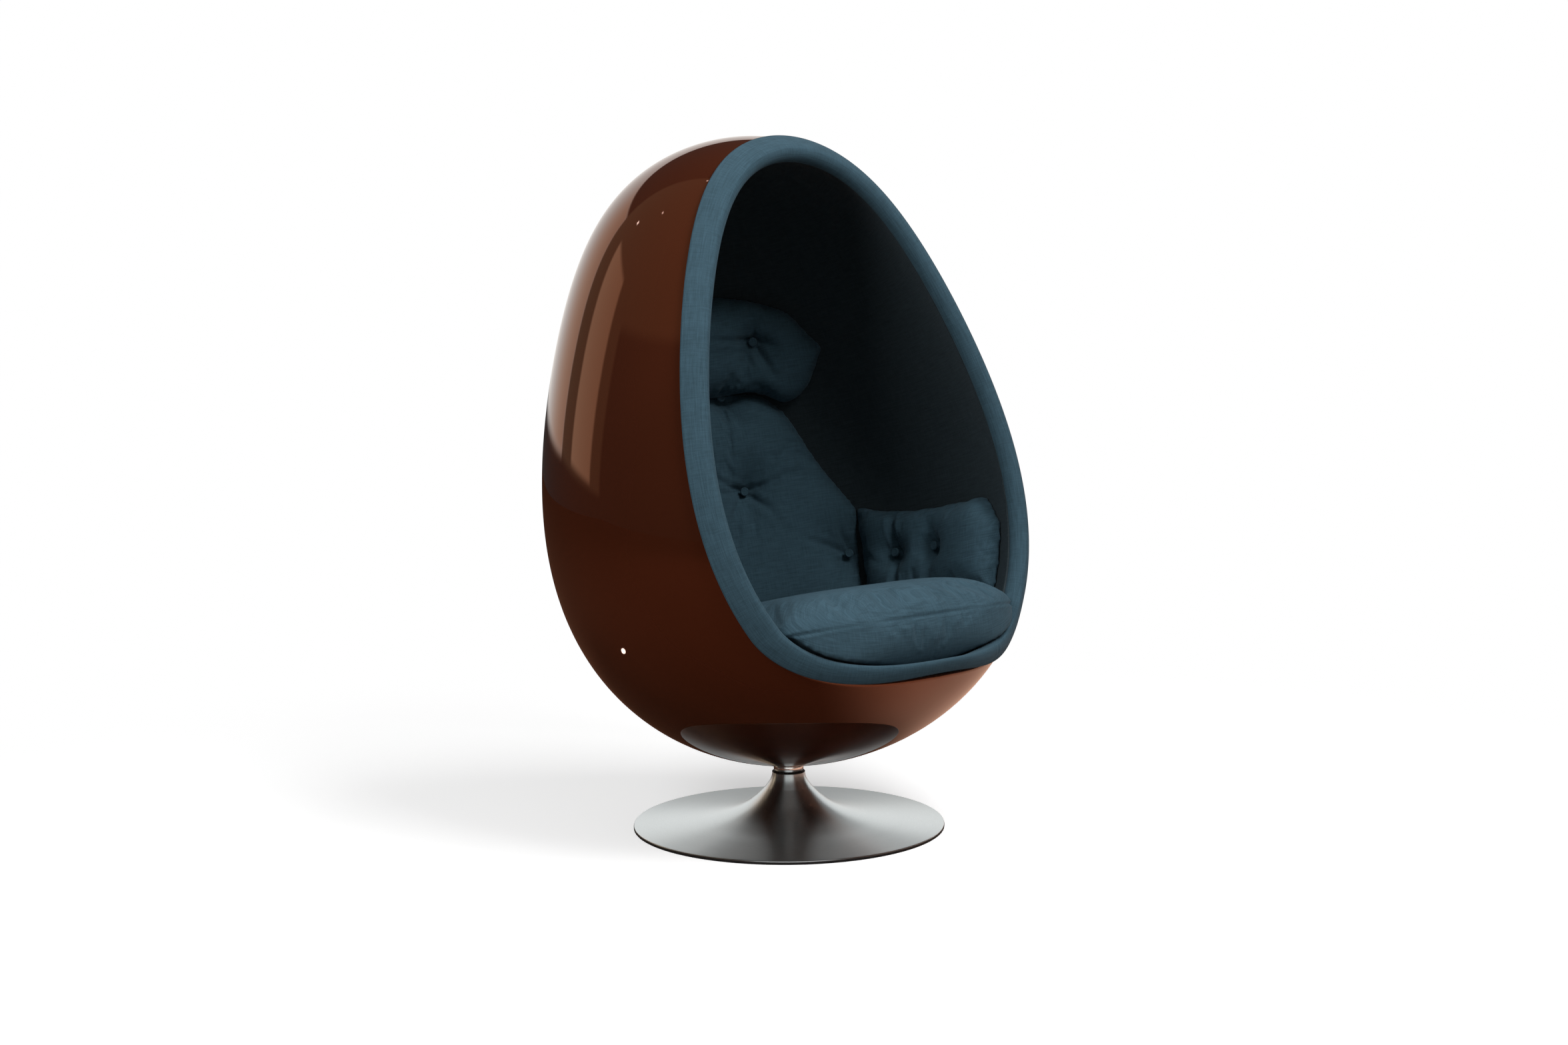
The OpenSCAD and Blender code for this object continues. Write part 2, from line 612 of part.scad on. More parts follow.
module bedding_pad() {
    color(ply) difference() {
        intersection() {
            rod(2 * pad_r, under_z, pad_top, round_fn);
            pod_place() egg_solid(shell_wall);
        }
        rod(spindle_d + 2 * hole_gap, 0, under_z + far, round_fn);
        mount_bolt_holes(hole_gap);
        ring_of(6, plate_screw_r) rod(screw_d, pad_top - short_screw, pad_top + far);
    }
}
module mount_plate() {
    color(iron) difference() {
        rod(2 * mount_plate_r, pad_top, pad_top + mount_plate_h, round_fn);
        rod(spindle_d, 0, under_z + far, round_fn);
        mount_bolt_holes(hole_gap);
        ring_of(6, plate_screw_r) rod(screw_d + 2 * hole_gap, pad_top - overrun, pad_top + far);
    }
}
module mount_bolts() {
    top = pad_top + mount_plate_h;
    color(bright) ring_of(4, mount_bolt_r, 45) {
        rod(small_bolt_d, top - mount_bolt_length, top);
        rod(small_head_d, top, top + small_head_h, 6);
    }
}
module plate_screws() {
    top = pad_top + mount_plate_h;
    color(bright) ring_of(6, plate_screw_r) {
        rod(screw_d, pad_top - short_screw, top);
        rod(2 * screw_d, top, top + screw_head);
    }
}
module deck_battens() {
    color(ply) pod_place() difference() {
        intersection() {
            for (side = [-1, 1]) translate([side * batten_x - batten_w / 2, -far / 2, -egg_half])
                cube([batten_w, far, egg_half - deck_top - deck_thick]);
            egg_solid(shell_wall);
        }
        deck_screw_places() rod(screw_d, -deck_top - screw_length, 0);
    }
}
module deck_screw_places() {
    for (x = [-batten_x, batten_x], y = [-deck_screw_y, 0, deck_screw_y]) translate([x, y, 0]) children();
}
module seat_deck() {
    color(ply) pod_place() difference() {
        translate([0, 0, -deck_top - deck_thick]) cylinder(r = deck_r, h = deck_thick, $fn = round_fn);
        deck_screw_places() rod(screw_d, -deck_top - deck_thick - overrun, 0);
        deck_screw_places() rod(2 * screw_d, -deck_top - screw_head, 0);
    }
}
module deck_screws() {
    color(bright) pod_place() deck_screw_places() {
        rod(screw_d, -deck_top - screw_length, -deck_top - screw_head);
        rod(2 * screw_d, -deck_top - screw_head, -deck_top);
    }
}
module shell() {
    color(brown) difference() {
        pod_place() difference() {
            egg_layer(0, shell_wall);
            opening_cut();
        }
        rod(spindle_d + 2 * hole_gap, 0, pad_top, round_fn);
        mount_bolt_holes(hole_gap);
    }
}
module above_deck() {
    translate([-far / 2, -far / 2, -deck_top]) cube([far, far, far]);
}
module lining_foam() {
    color(pale_foam) pod_place() intersection() {
        difference() {
            egg_layer(shell_wall, shell_wall + foam_thick);
            opening_cut();
        }
        above_deck();
    }
}
module lining_fabric() {
    color(dark_blue) pod_place() intersection() {
        difference() {
            egg_layer(shell_wall + foam_thick, shell_wall + foam_thick + lining_thick);
            opening_cut();
        }
        above_deck();
    }
}
module rim_roll() {
    color(blue) pod_place() ring_loop([for (i = [0:rim_steps - 1]) roll_ring(i)]);
}
module seat_cushion() {
    color(blue) pod_place() pillow(
        [for (i = [0:seat_rows]) [for (k = [0:seat_columns]) seat_point(i, k, 0)]],
        [for (i = [0:seat_rows]) [for (k = [0:seat_columns]) seat_point(i, k, 1)]]);
}
module back_cushion() {
    color(blue) pod_place() wall_pillow(function (u, v, t) back_wall(u, v, t), function (u, v) back_t(u, v),
        both(back_tufts), back_columns, back_rows);
}
module head_cushion() {
    color(blue) pod_place() wall_pillow(function (u, v, t) head_wall(u, v, t), function (u, v) head_t(u, v),
        both(head_tufts), head_columns, head_rows);
}
module arm_cushion_right() {
    color(blue) pod_place() wall_pillow(function (u, v, t) arm_wall(u, v, t), function (u, v) arm_t(u, v),
        arm_tufts, arm_columns, arm_rows);
}
module arm_cushion_left() {
    mirror([1, 0, 0]) arm_cushion_right();
}
module back_buttons() {
    color(blue) pod_place() for (q = both(back_tufts))
        button_at(function (u, v, t) back_wall(u, v, t), function (u, v) back_t(u, v), q);
}
module head_buttons() {
    color(blue) pod_place() for (q = both(head_tufts))
        button_at(function (u, v, t) head_wall(u, v, t), function (u, v) head_t(u, v), q);
}
module arm_buttons() {
    color(blue) pod_place() for (side = [0, 1]) mirror([side, 0, 0]) for (q = arm_tufts)
        button_at(function (u, v, t) arm_wall(u, v, t), function (u, v) arm_t(u, v), q);
}

base_trumpet();
base_edge_ring();
ballast_plate();
column_flange();
column_tube();
flange_bolts();
neck_gasket();
upper_bush();
lower_bush();
bearing_lower_race();
bearing_balls();
bearing_cage();
bearing_upper_race();
spindle();
spindle_washer();
spindle_bolt();
stem_collar();
mount_plate();
mount_bolts();
plate_screws();
bedding_pad();
deck_battens();
seat_deck();
deck_screws();
shell();
lining_foam();
lining_fabric();
rim_roll();
seat_cushion();
back_cushion();
head_cushion();
arm_cushion_right();
arm_cushion_left();
back_buttons();
head_buttons();
arm_buttons();
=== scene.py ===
"""Pod chair: surfaces, cushions and materials of a leaning egg-shaped lounge chair on a trumpet base.

The chair faces -Y, +Z is up, and the origin is on the floor below the swivel axis. Lengths are in metres.
"""

import json
import math

import bpy
import numpy as np
from mathutils import Matrix, Vector


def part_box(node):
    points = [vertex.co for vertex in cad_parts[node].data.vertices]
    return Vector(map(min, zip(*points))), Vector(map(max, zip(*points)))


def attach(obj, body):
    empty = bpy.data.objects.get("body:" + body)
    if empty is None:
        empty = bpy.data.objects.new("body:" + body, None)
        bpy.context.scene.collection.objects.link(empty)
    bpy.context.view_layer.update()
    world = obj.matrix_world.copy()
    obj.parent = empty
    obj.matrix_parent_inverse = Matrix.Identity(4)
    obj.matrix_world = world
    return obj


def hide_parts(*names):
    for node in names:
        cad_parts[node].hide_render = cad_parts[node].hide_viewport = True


bl_info = {
    "name": "Pod chair",
    "version": (1, 0, 0),
    "blender": (4, 5, 0),
    "location": "3D View > Sidebar > Pod chair",
    "description": "Builds the surfaces, cushions and materials of a leaning egg-shaped lounge chair",
    "category": "Object",
}

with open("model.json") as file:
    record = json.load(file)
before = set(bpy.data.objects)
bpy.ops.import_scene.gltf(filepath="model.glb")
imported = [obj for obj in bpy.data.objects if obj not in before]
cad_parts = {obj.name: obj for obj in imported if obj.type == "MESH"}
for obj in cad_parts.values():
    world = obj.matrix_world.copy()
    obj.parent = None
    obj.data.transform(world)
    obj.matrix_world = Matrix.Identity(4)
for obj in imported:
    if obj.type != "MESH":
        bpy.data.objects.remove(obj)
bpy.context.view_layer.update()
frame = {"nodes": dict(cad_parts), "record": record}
trumpet_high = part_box("base_trumpet")[1]
ring_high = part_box("base_edge_ring")[1]
gasket_low, gasket_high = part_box("neck_gasket")
collar_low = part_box("stem_collar")[0]

BASE_BODY = "base"
POD_BODY = "pod"
TURN = 2 * math.pi
WHITE = (1.0, 1.0, 1.0)
# Points round the egg and round the turned pieces
COLUMNS = 256
# Gap between pieces that lie on each other
BED_GAP = 0.0006


# Sizes and colours that a user would change

def length(name, text, default):
    """A property in metres."""
    return bpy.props.FloatProperty(name=name, description=text, default=default, unit="LENGTH", precision=4)


def angle(name, text, default):
    """A property given in degrees and kept in radians."""
    return bpy.props.FloatProperty(
        name=name, description=text, default=math.radians(default), unit="ROTATION")


def colour(name, text, default):
    """A property for a colour."""
    return bpy.props.FloatVectorProperty(
        name=name, description=text, default=default, size=3, subtype="COLOR", min=0, max=1)


def number(name, text, default):
    """A property without a unit."""
    return bpy.props.FloatProperty(name=name, description=text, default=default)


class PodShellSizes(bpy.types.PropertyGroup):
    """The egg, its lean and its opening"""
    half_length: length("Half length", "Half the egg's length along its own axis", 0.568)
    radius: length("Radius", "Radius of the egg at the middle of its length", 0.425)
    wall: length("Wall", "Thickness of the glass-fibre shell", 0.006)
    lean: angle("Lean", "Angle that the egg leans back", 15)
    setback: length("Setback", "How far the egg's middle lies behind the swivel axis", 0.025)
    front: length("Opening front", "Distance of the opening's edge in front of the egg's axis", 0.200)
    tilt: angle("Opening tilt", "Angle between the opening and the egg's axis", 2.9)
    bow: length("Opening bow", "How far the edge bows forward between its ends", 0.007)
    lip_drop: length("Lip drop", "Depth of the lower lip below the egg's middle", 0.451)
    corner_rise: length("Corner rise", "Height of the rounded corner above the lip", 0.111)
    corner_run: length("Corner run", "How far the rounded corner runs forward", 0.085)
    foam: length("Foam", "Thickness of the foam under the lining", 0.024)
    lining: length("Lining", "Thickness of the lining cloth", 0.002)


class PodRollSizes(bpy.types.PropertyGroup):
    """The padded roll round the opening"""
    proud: length("Proud", "How far the roll stands outside the shell", 0.008)
    crest: length("Crest", "Distance of the roll's crest inside the shell's outer face", 0.005)
    forward: length("Forward", "How far the roll stands in front of the shell's edge", 0.034)
    seam_turn: angle("Seam", "Turn from the top at which the cloth's end seam lies", 162)


class PodCushionSizes(bpy.types.PropertyGroup):
    """Cushions and buttons"""
    seat_crown: length("Seat crown", "Crown height of the seat cushion above its seam", 0.070)
    seat_width: length("Seat width", "Width of the seat cushion between the rim's sides", 0.546)
    seat_reach: length("Seat reach", "Distance of the seat's front from the egg's axis", 0.304)
    seat_seam: length("Seat seam", "Depth of the seat's seam below the egg's middle", 0.350)
    back_thick: length("Back", "Crown thickness of the back cushion", 0.074)
    head_thick: length("Head", "Crown thickness of the head cushion", 0.072)
    arm_thick: length("Arm", "Crown thickness of the arm cushions", 0.060)
    tuft_depth: length("Tuft depth", "Depth of the dimple that a button pulls", 0.032)
    tuft_size: length("Tuft size", "Width over which a dimple eases out", 0.034)
    button: length("Button", "Diameter of the covered buttons", 0.018)
    voxel: length("Cloth grid", "Edge length of the cloth grid", 0.0055)
    puff: length("Puff", "How far the stuffing may push the cloth out", 0.008)


class PodFinishes(bpy.types.PropertyGroup):
    """Colours and finishes"""
    shell: colour("Shell", "Lacquered shell", (0.046, 0.0108, 0.0045))
    cloth: colour("Cloth", "Upholstery cloth", (0.042, 0.081, 0.107))
    # Painted shade: the lining's colour is darker than the cushions' cloth, and this darkness stands in for the
    # shade deep inside the shell
    lining: colour("Lining cloth", "Dark cloth inside the shell", (0.028, 0.039, 0.045))
    steel: colour("Steel", "Brushed steel of the base", (0.55, 0.61, 0.64))
    polish: colour("Polished steel", "Collar, spindle and bearing", (0.80, 0.80, 0.80))
    rubber: colour("Rubber", "Edge ring and gasket", (0.008, 0.008, 0.008))
    button_share: number("Button cloth", "Brightness of the buttons' cloth against the cushions'", 0.9)
    thread: length("Thread", "Spacing of the cloth's threads", 0.0011)


class PodStage(bpy.types.PropertyGroup):
    """Camera, floor and lamps"""
    eye: bpy.props.FloatVectorProperty(
        name="Camera place", description="Where the camera stands", default=(-2.4910, -2.7658, 0.9329),
        size=3, subtype="TRANSLATION", unit="LENGTH")
    heading: angle("Heading", "Turn of the camera about the upright axis", -41.945)
    pitch: angle("Pitch", "How far the camera looks down", 5.830)
    roll: angle("Roll", "Turn of the camera about its own line of sight", -0.543)
    lens: number("Lens", "Focal length in millimetres on a 36 mm sensor", 47.82)
    floor: colour("Floor", "Pale floor", (0.80, 0.80, 0.80))
    ambient: number("Ambient", "Strength of the room's even light", 0.235)
    room: number("Dark room", "Brightness of the room's dark parts in the lacquer and steel", 0.035)
    spot: bpy.props.FloatVectorProperty(
        name="Spot", description="Place of the small lamp that shows on the lacquer",
        default=(-0.607, 0.433, 0.012), size=3, subtype="TRANSLATION", unit="LENGTH")
    spot_size: length("Spot size", "Radius of the small lamp", 0.022)
    spot_light: number("Spot light", "Strength of the small lamp", 14.0)
    floor_lift: number("Floor lift", "Light added to the floor where the camera sees it", 0.46)
    bounce: number("Floor bounce", "Shade of the floor for the light that it throws back on the chair", 0.22)
    # Painted reflection: the floor takes these two colours only in mirrors. The near one is painted shade round
    # the chair, and the far one is painted warm light to its right.
    painted_floor_shade: colour("Near floor", "Mirrored colour of the floor round the chair", (0.14, 0.06, 0.035))
    painted_floor_light: colour("Lit floor", "Mirrored colour of the floor right of the chair", (0.95, 0.56, 0.40))
    fade_from: length("Fade from", "Distance at which the floor starts to turn plain white", 0.7)
    fade_to: length("Fade to", "Distance at which the floor is plain white", 1.9)


def shell_sizes():
    """Sizes of the egg and its opening."""
    return bpy.context.scene.pod_shell


def cushion_sizes():
    """Sizes of the cushions and buttons."""
    return bpy.context.scene.pod_cushions


# The egg and its opening

# The egg's fullness against its height share: fuller below, narrower above
TAPER_SHARES = (1, -0.212, 0.065, 0.128, 0.070)
OPENING_TOP_SHARE = 0.914
# Distance over which a slope is taken, and the number of heights at which the leaned egg's foot is looked for
SLOPE_STEP = 0.0005
PROFILE_STEPS = 4000


def egg_radius(z, off=0.0):
    """Radius at height z of the egg drawn in by off: an ellipse times a polynomial in the height share."""
    s = shell_sizes()
    share = np.clip(np.asarray(z, float) / (s.half_length - off), -1, 1)
    return (s.radius - off) * np.sqrt(1 - share ** 2) * np.polyval(TAPER_SHARES[::-1], share)


def egg_slope(z, off=0.0):
    """Change of the egg's radius with height, from two near heights."""
    return (egg_radius(z + SLOPE_STEP, off) - egg_radius(z - SLOPE_STEP, off)) / (2 * SLOPE_STEP)


def pod_height():
    """Height of the egg's middle above the floor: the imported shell's foot plus how far the leaned egg reaches
    below its middle."""
    s = shell_sizes()
    z = np.linspace(-s.half_length, 0, PROFILE_STEPS)
    drop = -np.min(z * math.cos(s.lean) - egg_radius(z) * math.sin(s.lean))
    return pod_foot() + drop


def pod_foot():
    """Height of the egg's lowest point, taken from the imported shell."""
    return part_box("shell")[0].z


def to_frame(p):
    """Turns points in the egg's own axes into the chair's: leaned back about X, then lifted and set back."""
    s = shell_sizes()
    c, n = math.cos(s.lean), math.sin(s.lean)
    x, y, z = p[..., 0], p[..., 1], p[..., 2]
    return np.stack([x, s.setback + y * c + z * n, pod_height() - y * n + z * c], -1)


def to_egg(p):
    """The reverse of to_frame."""
    s = shell_sizes()
    c, n = math.cos(s.lean), math.sin(s.lean)
    x, y, z = p[..., 0], p[..., 1] - s.setback, p[..., 2] - pod_height()
    return np.stack([x, y * c - z * n, y * n + z * c], -1)


def side_line(z):
    """Depth of the opening's side line at height z: a tilted line plus a parabola that dies at both ends."""
    s = shell_sizes()
    corner = s.corner_rise - s.lip_drop
    middle = (s.half_length * OPENING_TOP_SHARE + corner) / 2
    half = (s.half_length * OPENING_TOP_SHARE - corner) / 2
    return -(s.front - z * math.tan(s.tilt) + s.bow * (1 - ((z - middle) / half) ** 2))


def edge_depth(z):
    """Depth of the opening's edge at height z: the side line, then a quarter ellipse down to the lip."""
    s = shell_sizes()
    corner = s.corner_rise - s.lip_drop
    share = np.clip((corner - z) / s.corner_rise, 0, 1)
    round_line = side_line(corner) - s.corner_run * (1 - np.sqrt(1 - share ** 2))
    return np.where(z >= corner, side_line(z), round_line)


def unit(v):
    """Vectors brought to the length of one."""
    return v / np.maximum(np.linalg.norm(v, axis=-1, keepdims=True), 1e-12)


def halved(low, high, kept, steps=40):
    """The end of the stretch from low upwards over which kept holds, found by halving, for whole arrays."""
    for _ in range(steps):
        middle = (low + high) / 2
        held = kept(middle)
        low, high = np.where(held, middle, low), np.where(held, high, middle)
    return low


def rim_curve(count, off=0.0):
    """Points where the opening's surface meets the egg drawn in by off.
    Each lies on a ray from the opening's middle in the XZ plane, and its reach is found by halving."""
    s = shell_sizes()
    a = np.arange(count) * TURN / count
    middle = (s.half_length * OPENING_TOP_SHARE - s.lip_drop) / 2

    def on_ray(reach):
        z = middle + reach * np.cos(a)
        return reach * np.sin(a), edge_depth(z), z

    def inside(reach):
        x, y, z = on_ray(reach)
        in_height = (z > -s.lip_drop) & (np.abs(z) < s.half_length - off)
        return in_height & (x ** 2 + y ** 2 < egg_radius(z, off) ** 2)

    reach = halved(np.zeros(count), np.full(count, 2 * s.half_length), inside, steps=48)
    return np.stack(on_ray(reach), -1)


def egg_normal(p, off=0.0):
    """Outward normal of the egg: its radius' slope against height turned square to the profile."""
    flat = np.maximum(np.hypot(p[..., 0], p[..., 1]), 1e-9)
    return unit(np.stack([p[..., 0] / flat, p[..., 1] / flat, -egg_slope(p[..., 2], off)], -1))


def cut_normal(p):
    """Forward normal of the surface that cuts the opening."""
    slope = (edge_depth(p[..., 2] + SLOPE_STEP) - edge_depth(p[..., 2])) / SLOPE_STEP
    return unit(np.stack([np.zeros_like(slope), -np.ones_like(slope), slope], -1))


def on_cut(p):
    """Moves points onto the surface that cuts the opening: along Y above the corner, and towards the middle
    of its ellipse below it."""
    s = shell_sizes()
    corner = s.corner_rise - s.lip_drop
    middle = side_line(corner) - s.corner_run
    v = unit(np.stack([(p[..., 1] - middle) / s.corner_run, (corner - p[..., 2]) / s.corner_rise], -1))
    above = np.stack([p[..., 0], side_line(p[..., 2]), p[..., 2]], -1)
    below = np.stack([p[..., 0], middle + s.corner_run * v[..., 0], corner - s.corner_rise * v[..., 1]], -1)
    return np.where((p[..., 2] >= corner)[..., None], above, below)


def bowl(rim, off, rows):
    """Grid over the egg from the opening round to the middle of its back.
    Each column swings from its rim point to the back along a great circle, seen from the egg's middle.
    Its distance, a metre at most, is found by halving until it lies on the egg drawn in by off."""
    start = unit(rim)
    end = np.array([0.0, 1.0, 0.0])
    swing = np.arccos(np.clip(start @ end, -1, 1))[:, None]
    t = np.linspace(0, 1, rows + 1)[:-1][:, None, None]
    way = (np.sin((1 - t) * swing) * start + np.sin(t * swing) * end) / np.sin(swing)

    def inside(reach):
        p = way * reach[..., None]
        return np.hypot(p[..., 0], p[..., 1]) < egg_radius(p[..., 2], off)

    reach = halved(np.zeros(way.shape[:2]), np.ones(way.shape[:2]), inside)
    p = way * reach[..., None]
    p[0] = rim
    return p


def wall_point(turn, z, thick, off):
    """Place at a turn round the egg's axis and a height, stood off the wall along its normal."""
    r, slope = egg_radius(z, off), egg_slope(z, off)
    n = np.sqrt(1 + slope ** 2)
    reach = r - thick / n
    return np.stack([reach * np.sin(turn), reach * np.cos(turn), z + thick * slope / n], -1)


# Meshes from grids

def mesh_of(name, points, faces):
    """A mesh from its points and faces."""
    mesh = bpy.data.meshes.new(name)
    mesh.from_pydata(points, [], faces)
    mesh.update()
    return mesh


def placed(name, data):
    """A new object in the scene round a mesh, lamp or camera."""
    obj = bpy.data.objects.new(name, data)
    bpy.context.scene.collection.objects.link(obj)
    return obj


def skin(name, grid, wrap_rows=False, poles=(None, None), uv=None):
    """A closed or open skin over a grid of points, rows by columns, whose columns run round.
    Quads join neighbours, and a pole, where given, closes an end row with a fan."""
    rows, cols = grid.shape[:2]
    here = np.arange(cols)
    after = (here + 1) % cols
    a = np.arange(rows if wrap_rows else rows - 1)[:, None] * cols
    b = (a + cols) % (rows * cols)
    points = [grid.reshape(-1, 3)]
    faces = np.stack([a + here, b + here, b + after, a + after], -1).reshape(-1, 4).tolist()
    last = (rows - 1) * cols
    for pole, ends in zip(poles, ((here, after), (last + after, last + here))):
        if pole is not None:
            tip = np.full(cols, rows * cols + len(points) - 1)
            faces += np.stack([tip, *ends], -1).tolist()
            points.append(np.asarray(pole, float).reshape(1, 3))
    mesh = mesh_of(name, np.concatenate(points), faces)
    if uv is not None:
        put_uv(mesh, uv)
    return add_object(name, mesh)


def put_uv(mesh, uv):
    """Writes each vertex's cloth coordinate, in metres along and across the cloth, to all its corners."""
    layer = mesh.uv_layers.new(name="cloth")
    corner = np.empty(len(mesh.loops), np.int32)
    mesh.loops.foreach_get("vertex_index", corner)
    flat = np.asarray(uv, float).reshape(-1, 2)
    if len(flat) < len(mesh.vertices):
        flat = np.concatenate([flat, np.zeros((len(mesh.vertices) - len(flat), 2))])
    layer.data.foreach_set("uv", flat[corner].ravel())


def add_object(name, mesh):
    """Puts a smoothly shaded mesh into the scene."""
    mesh.shade_smooth()
    return placed(name, mesh)


def points_of(mesh):
    """All vertices of a mesh as an array."""
    flat = np.empty(len(mesh.vertices) * 3, np.float32)
    mesh.vertices.foreach_get("co", flat)
    return flat.reshape(-1, 3).astype(float)


def normals_of(mesh):
    """All vertex normals of a mesh as an array."""
    flat = np.empty(len(mesh.vertices) * 3, np.float32)
    mesh.vertex_normals.foreach_get("vector", flat)
    return flat.reshape(-1, 3).astype(float)


def set_points(mesh, p):
    """Writes an array back to all vertices of a mesh."""
    mesh.vertices.foreach_set("co", np.ascontiguousarray(p, np.float32).ravel())
    mesh.update()


def finish_piece(obj, body, slot, material, *nodes):
    """Gives a piece its material and body, and hides the imported nodes that it stands for. The slot is not
    used.
    """
    obj.data.materials.clear()
    obj.data.materials.append(material)
    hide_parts(*nodes)
    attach(obj, body)


def rings(radius, height):
    """Level rings of points round the upright axis, one for each radius and height."""
    a = np.arange(COLUMNS) * TURN / COLUMNS
    r, z = np.asarray(radius, float)[:, None], np.asarray(height, float)[:, None]
    return np.stack([r * np.cos(a), r * np.sin(a), z + 0 * a], -1)


def lathe(name, profile):
    """Turns a closed profile of (radius, height) points once round the upright axis."""
    obj = skin(name, rings(*np.transpose(profile)), wrap_rows=True)
    face_away(obj)
    return obj


def face_away(obj):
    """Turns a lathed piece inside out if its outermost face looks towards the axis."""
    face = max(obj.data.polygons, key=lambda f: f.center.xy.length)
    if face.normal.xy.dot(face.center.xy) < 0:
        obj.data.flip_normals()


def packed_radii(node):
    """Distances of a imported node's vertices from the upright axis."""
    p = points_of(frame["nodes"][node].data)
    return np.hypot(p[:, 0], p[:, 1])


# Materials

class Nodes:
    """Short names for adding and joining shader nodes in one tree, which is emptied first."""

    def __init__(self, tree):
        self.tree = tree
        tree.nodes.clear()

    def feed(self, socket, value):
        """Joins a socket to another one, or sets it to a number or to a colour of three values."""
        if isinstance(value, bpy.types.NodeSocket):
            self.tree.links.new(value, socket)
        else:
            socket.default_value = value if isinstance(value, (int, float)) else (*value, 1.0)

    def add(self, kind, *values, **settings):
        """Adds a node with its settings, and feeds its first sockets in order."""
        node = self.tree.nodes.new(kind)
        for key, value in settings.items():
            setattr(node, key, value)
        for socket, value in zip(node.inputs, values):
            self.feed(socket, value)
        return node

    def place(self):
        """Coordinates on the object itself, in metres."""
        return self.add("ShaderNodeTexCoord").outputs["Object"]

    def math(self, kind, *values):
        """One sum of numbers or sockets."""
        return self.add("ShaderNodeMath", *values, operation=kind).outputs[0]

    def weighed(self, a, weight_a, b, weight_b):
        """Sum of two values, each times its weight."""
        return self.math("ADD", self.math("MULTIPLY", a, weight_a), self.math("MULTIPLY", b, weight_b))

    def far(self, x, y):
        """Distance from the middle, the root of two squares added."""
        return self.math("SQRT", self.math("ADD", self.math("MULTIPLY", x, x), self.math("MULTIPLY", y, y)))

    def seen(self, path):
        """1 for what the camera sees, also through a clear piece, and 0 for thrown light and mirrors."""
        return self.math("MAXIMUM", path["Is Camera Ray"], path["Is Transmission Ray"])

    def mix(self, share, a, b):
        """A colour between two."""
        node = self.add("ShaderNodeMix", data_type="RGBA")
        for slot, value in ((0, share), (6, a), (7, b)):
            self.feed(node.inputs[slot], value)
        return node.outputs[2]

    def step_up(self, value, low, high):
        """A smooth step from 0 at low to 1 at high."""
        node = self.add("ShaderNodeMapRange", value, interpolation_type="SMOOTHSTEP")
        node.inputs["From Min"].default_value, node.inputs["From Max"].default_value = low, high
        return node.outputs[0]

    def noise(self, vector, scale, detail=2.0, rough=0.5, stretch=None):
        """Noise at so many cells a metre, with its coordinates stretched by three shares."""
        if stretch is not None:
            mapping = self.add("ShaderNodeMapping", vector)
            mapping.inputs["Scale"].default_value = stretch
            vector = mapping.outputs[0]
        node = self.add("ShaderNodeTexNoise")
        for key, value in (("Vector", vector), ("Scale", scale), ("Detail", detail), ("Roughness", rough)):
            self.feed(node.inputs[key], value)
        return node.outputs[0]

    def ramp(self, value, stops):
        """A ramp through (position, shade) stops, where a shade is one number or a colour."""
        node = self.add("ShaderNodeValToRGB", value)
        elements = node.color_ramp.elements
        while len(elements) < len(stops):
            elements.new(0.5)
        for element, (at, shade) in zip(elements, stops):
            element.position = at
            element.color = (*np.broadcast_to(shade, 3), 1.0)
        return node.outputs[0]

    def tint(self, value, low, high, dark, light):
        """A colour that goes from dark to light while the value goes from low to high."""
        return self.mix(self.ramp(value, ((low, 0.0), (high, 1.0))), dark, light)


class Finish(Nodes):
    """A material with one shader, and short names for the shader's sockets."""

    def __init__(self, name):
        self.material = bpy.data.materials.get(name) or bpy.data.materials.new(name)
        self.material.use_nodes = True
        super().__init__(self.material.node_tree)
        self.shader = self.add("ShaderNodeBsdfPrincipled")
        self.add("ShaderNodeOutputMaterial", self.shader.outputs[0])

    def put(self, **values):
        """Sets sockets of the shader; an underscore in a name stands for a space."""
        for key, value in values.items():
            self.shader.inputs[key.replace("_", " ")].default_value = value

    def colour(self, value):
        self.feed(self.shader.inputs["Base Color"], value)

    def rough(self, value, smooth, dull):
        """Roughness that goes from smooth to dull over the middle of the value's range."""
        self.feed(self.shader.inputs["Roughness"], self.ramp(value, ((0.3, smooth), (0.7, dull))))

    def bump(self, height, distance, strength):
        """Raises and sinks the surface by a height of 0 to 1 times a distance."""
        node = self.add("ShaderNodeBump")
        for key, value in (("Strength", strength), ("Distance", distance), ("Height", height)):
            self.feed(node.inputs[key], value)
        self.feed(self.shader.inputs["Normal"], node.outputs[0])


# Cells a metre of the cloth's slubs, mottle and patches
SLUB_CELLS = 420.0
MOTTLE_CELLS = 26.0
PATCH_CELLS = 5.0


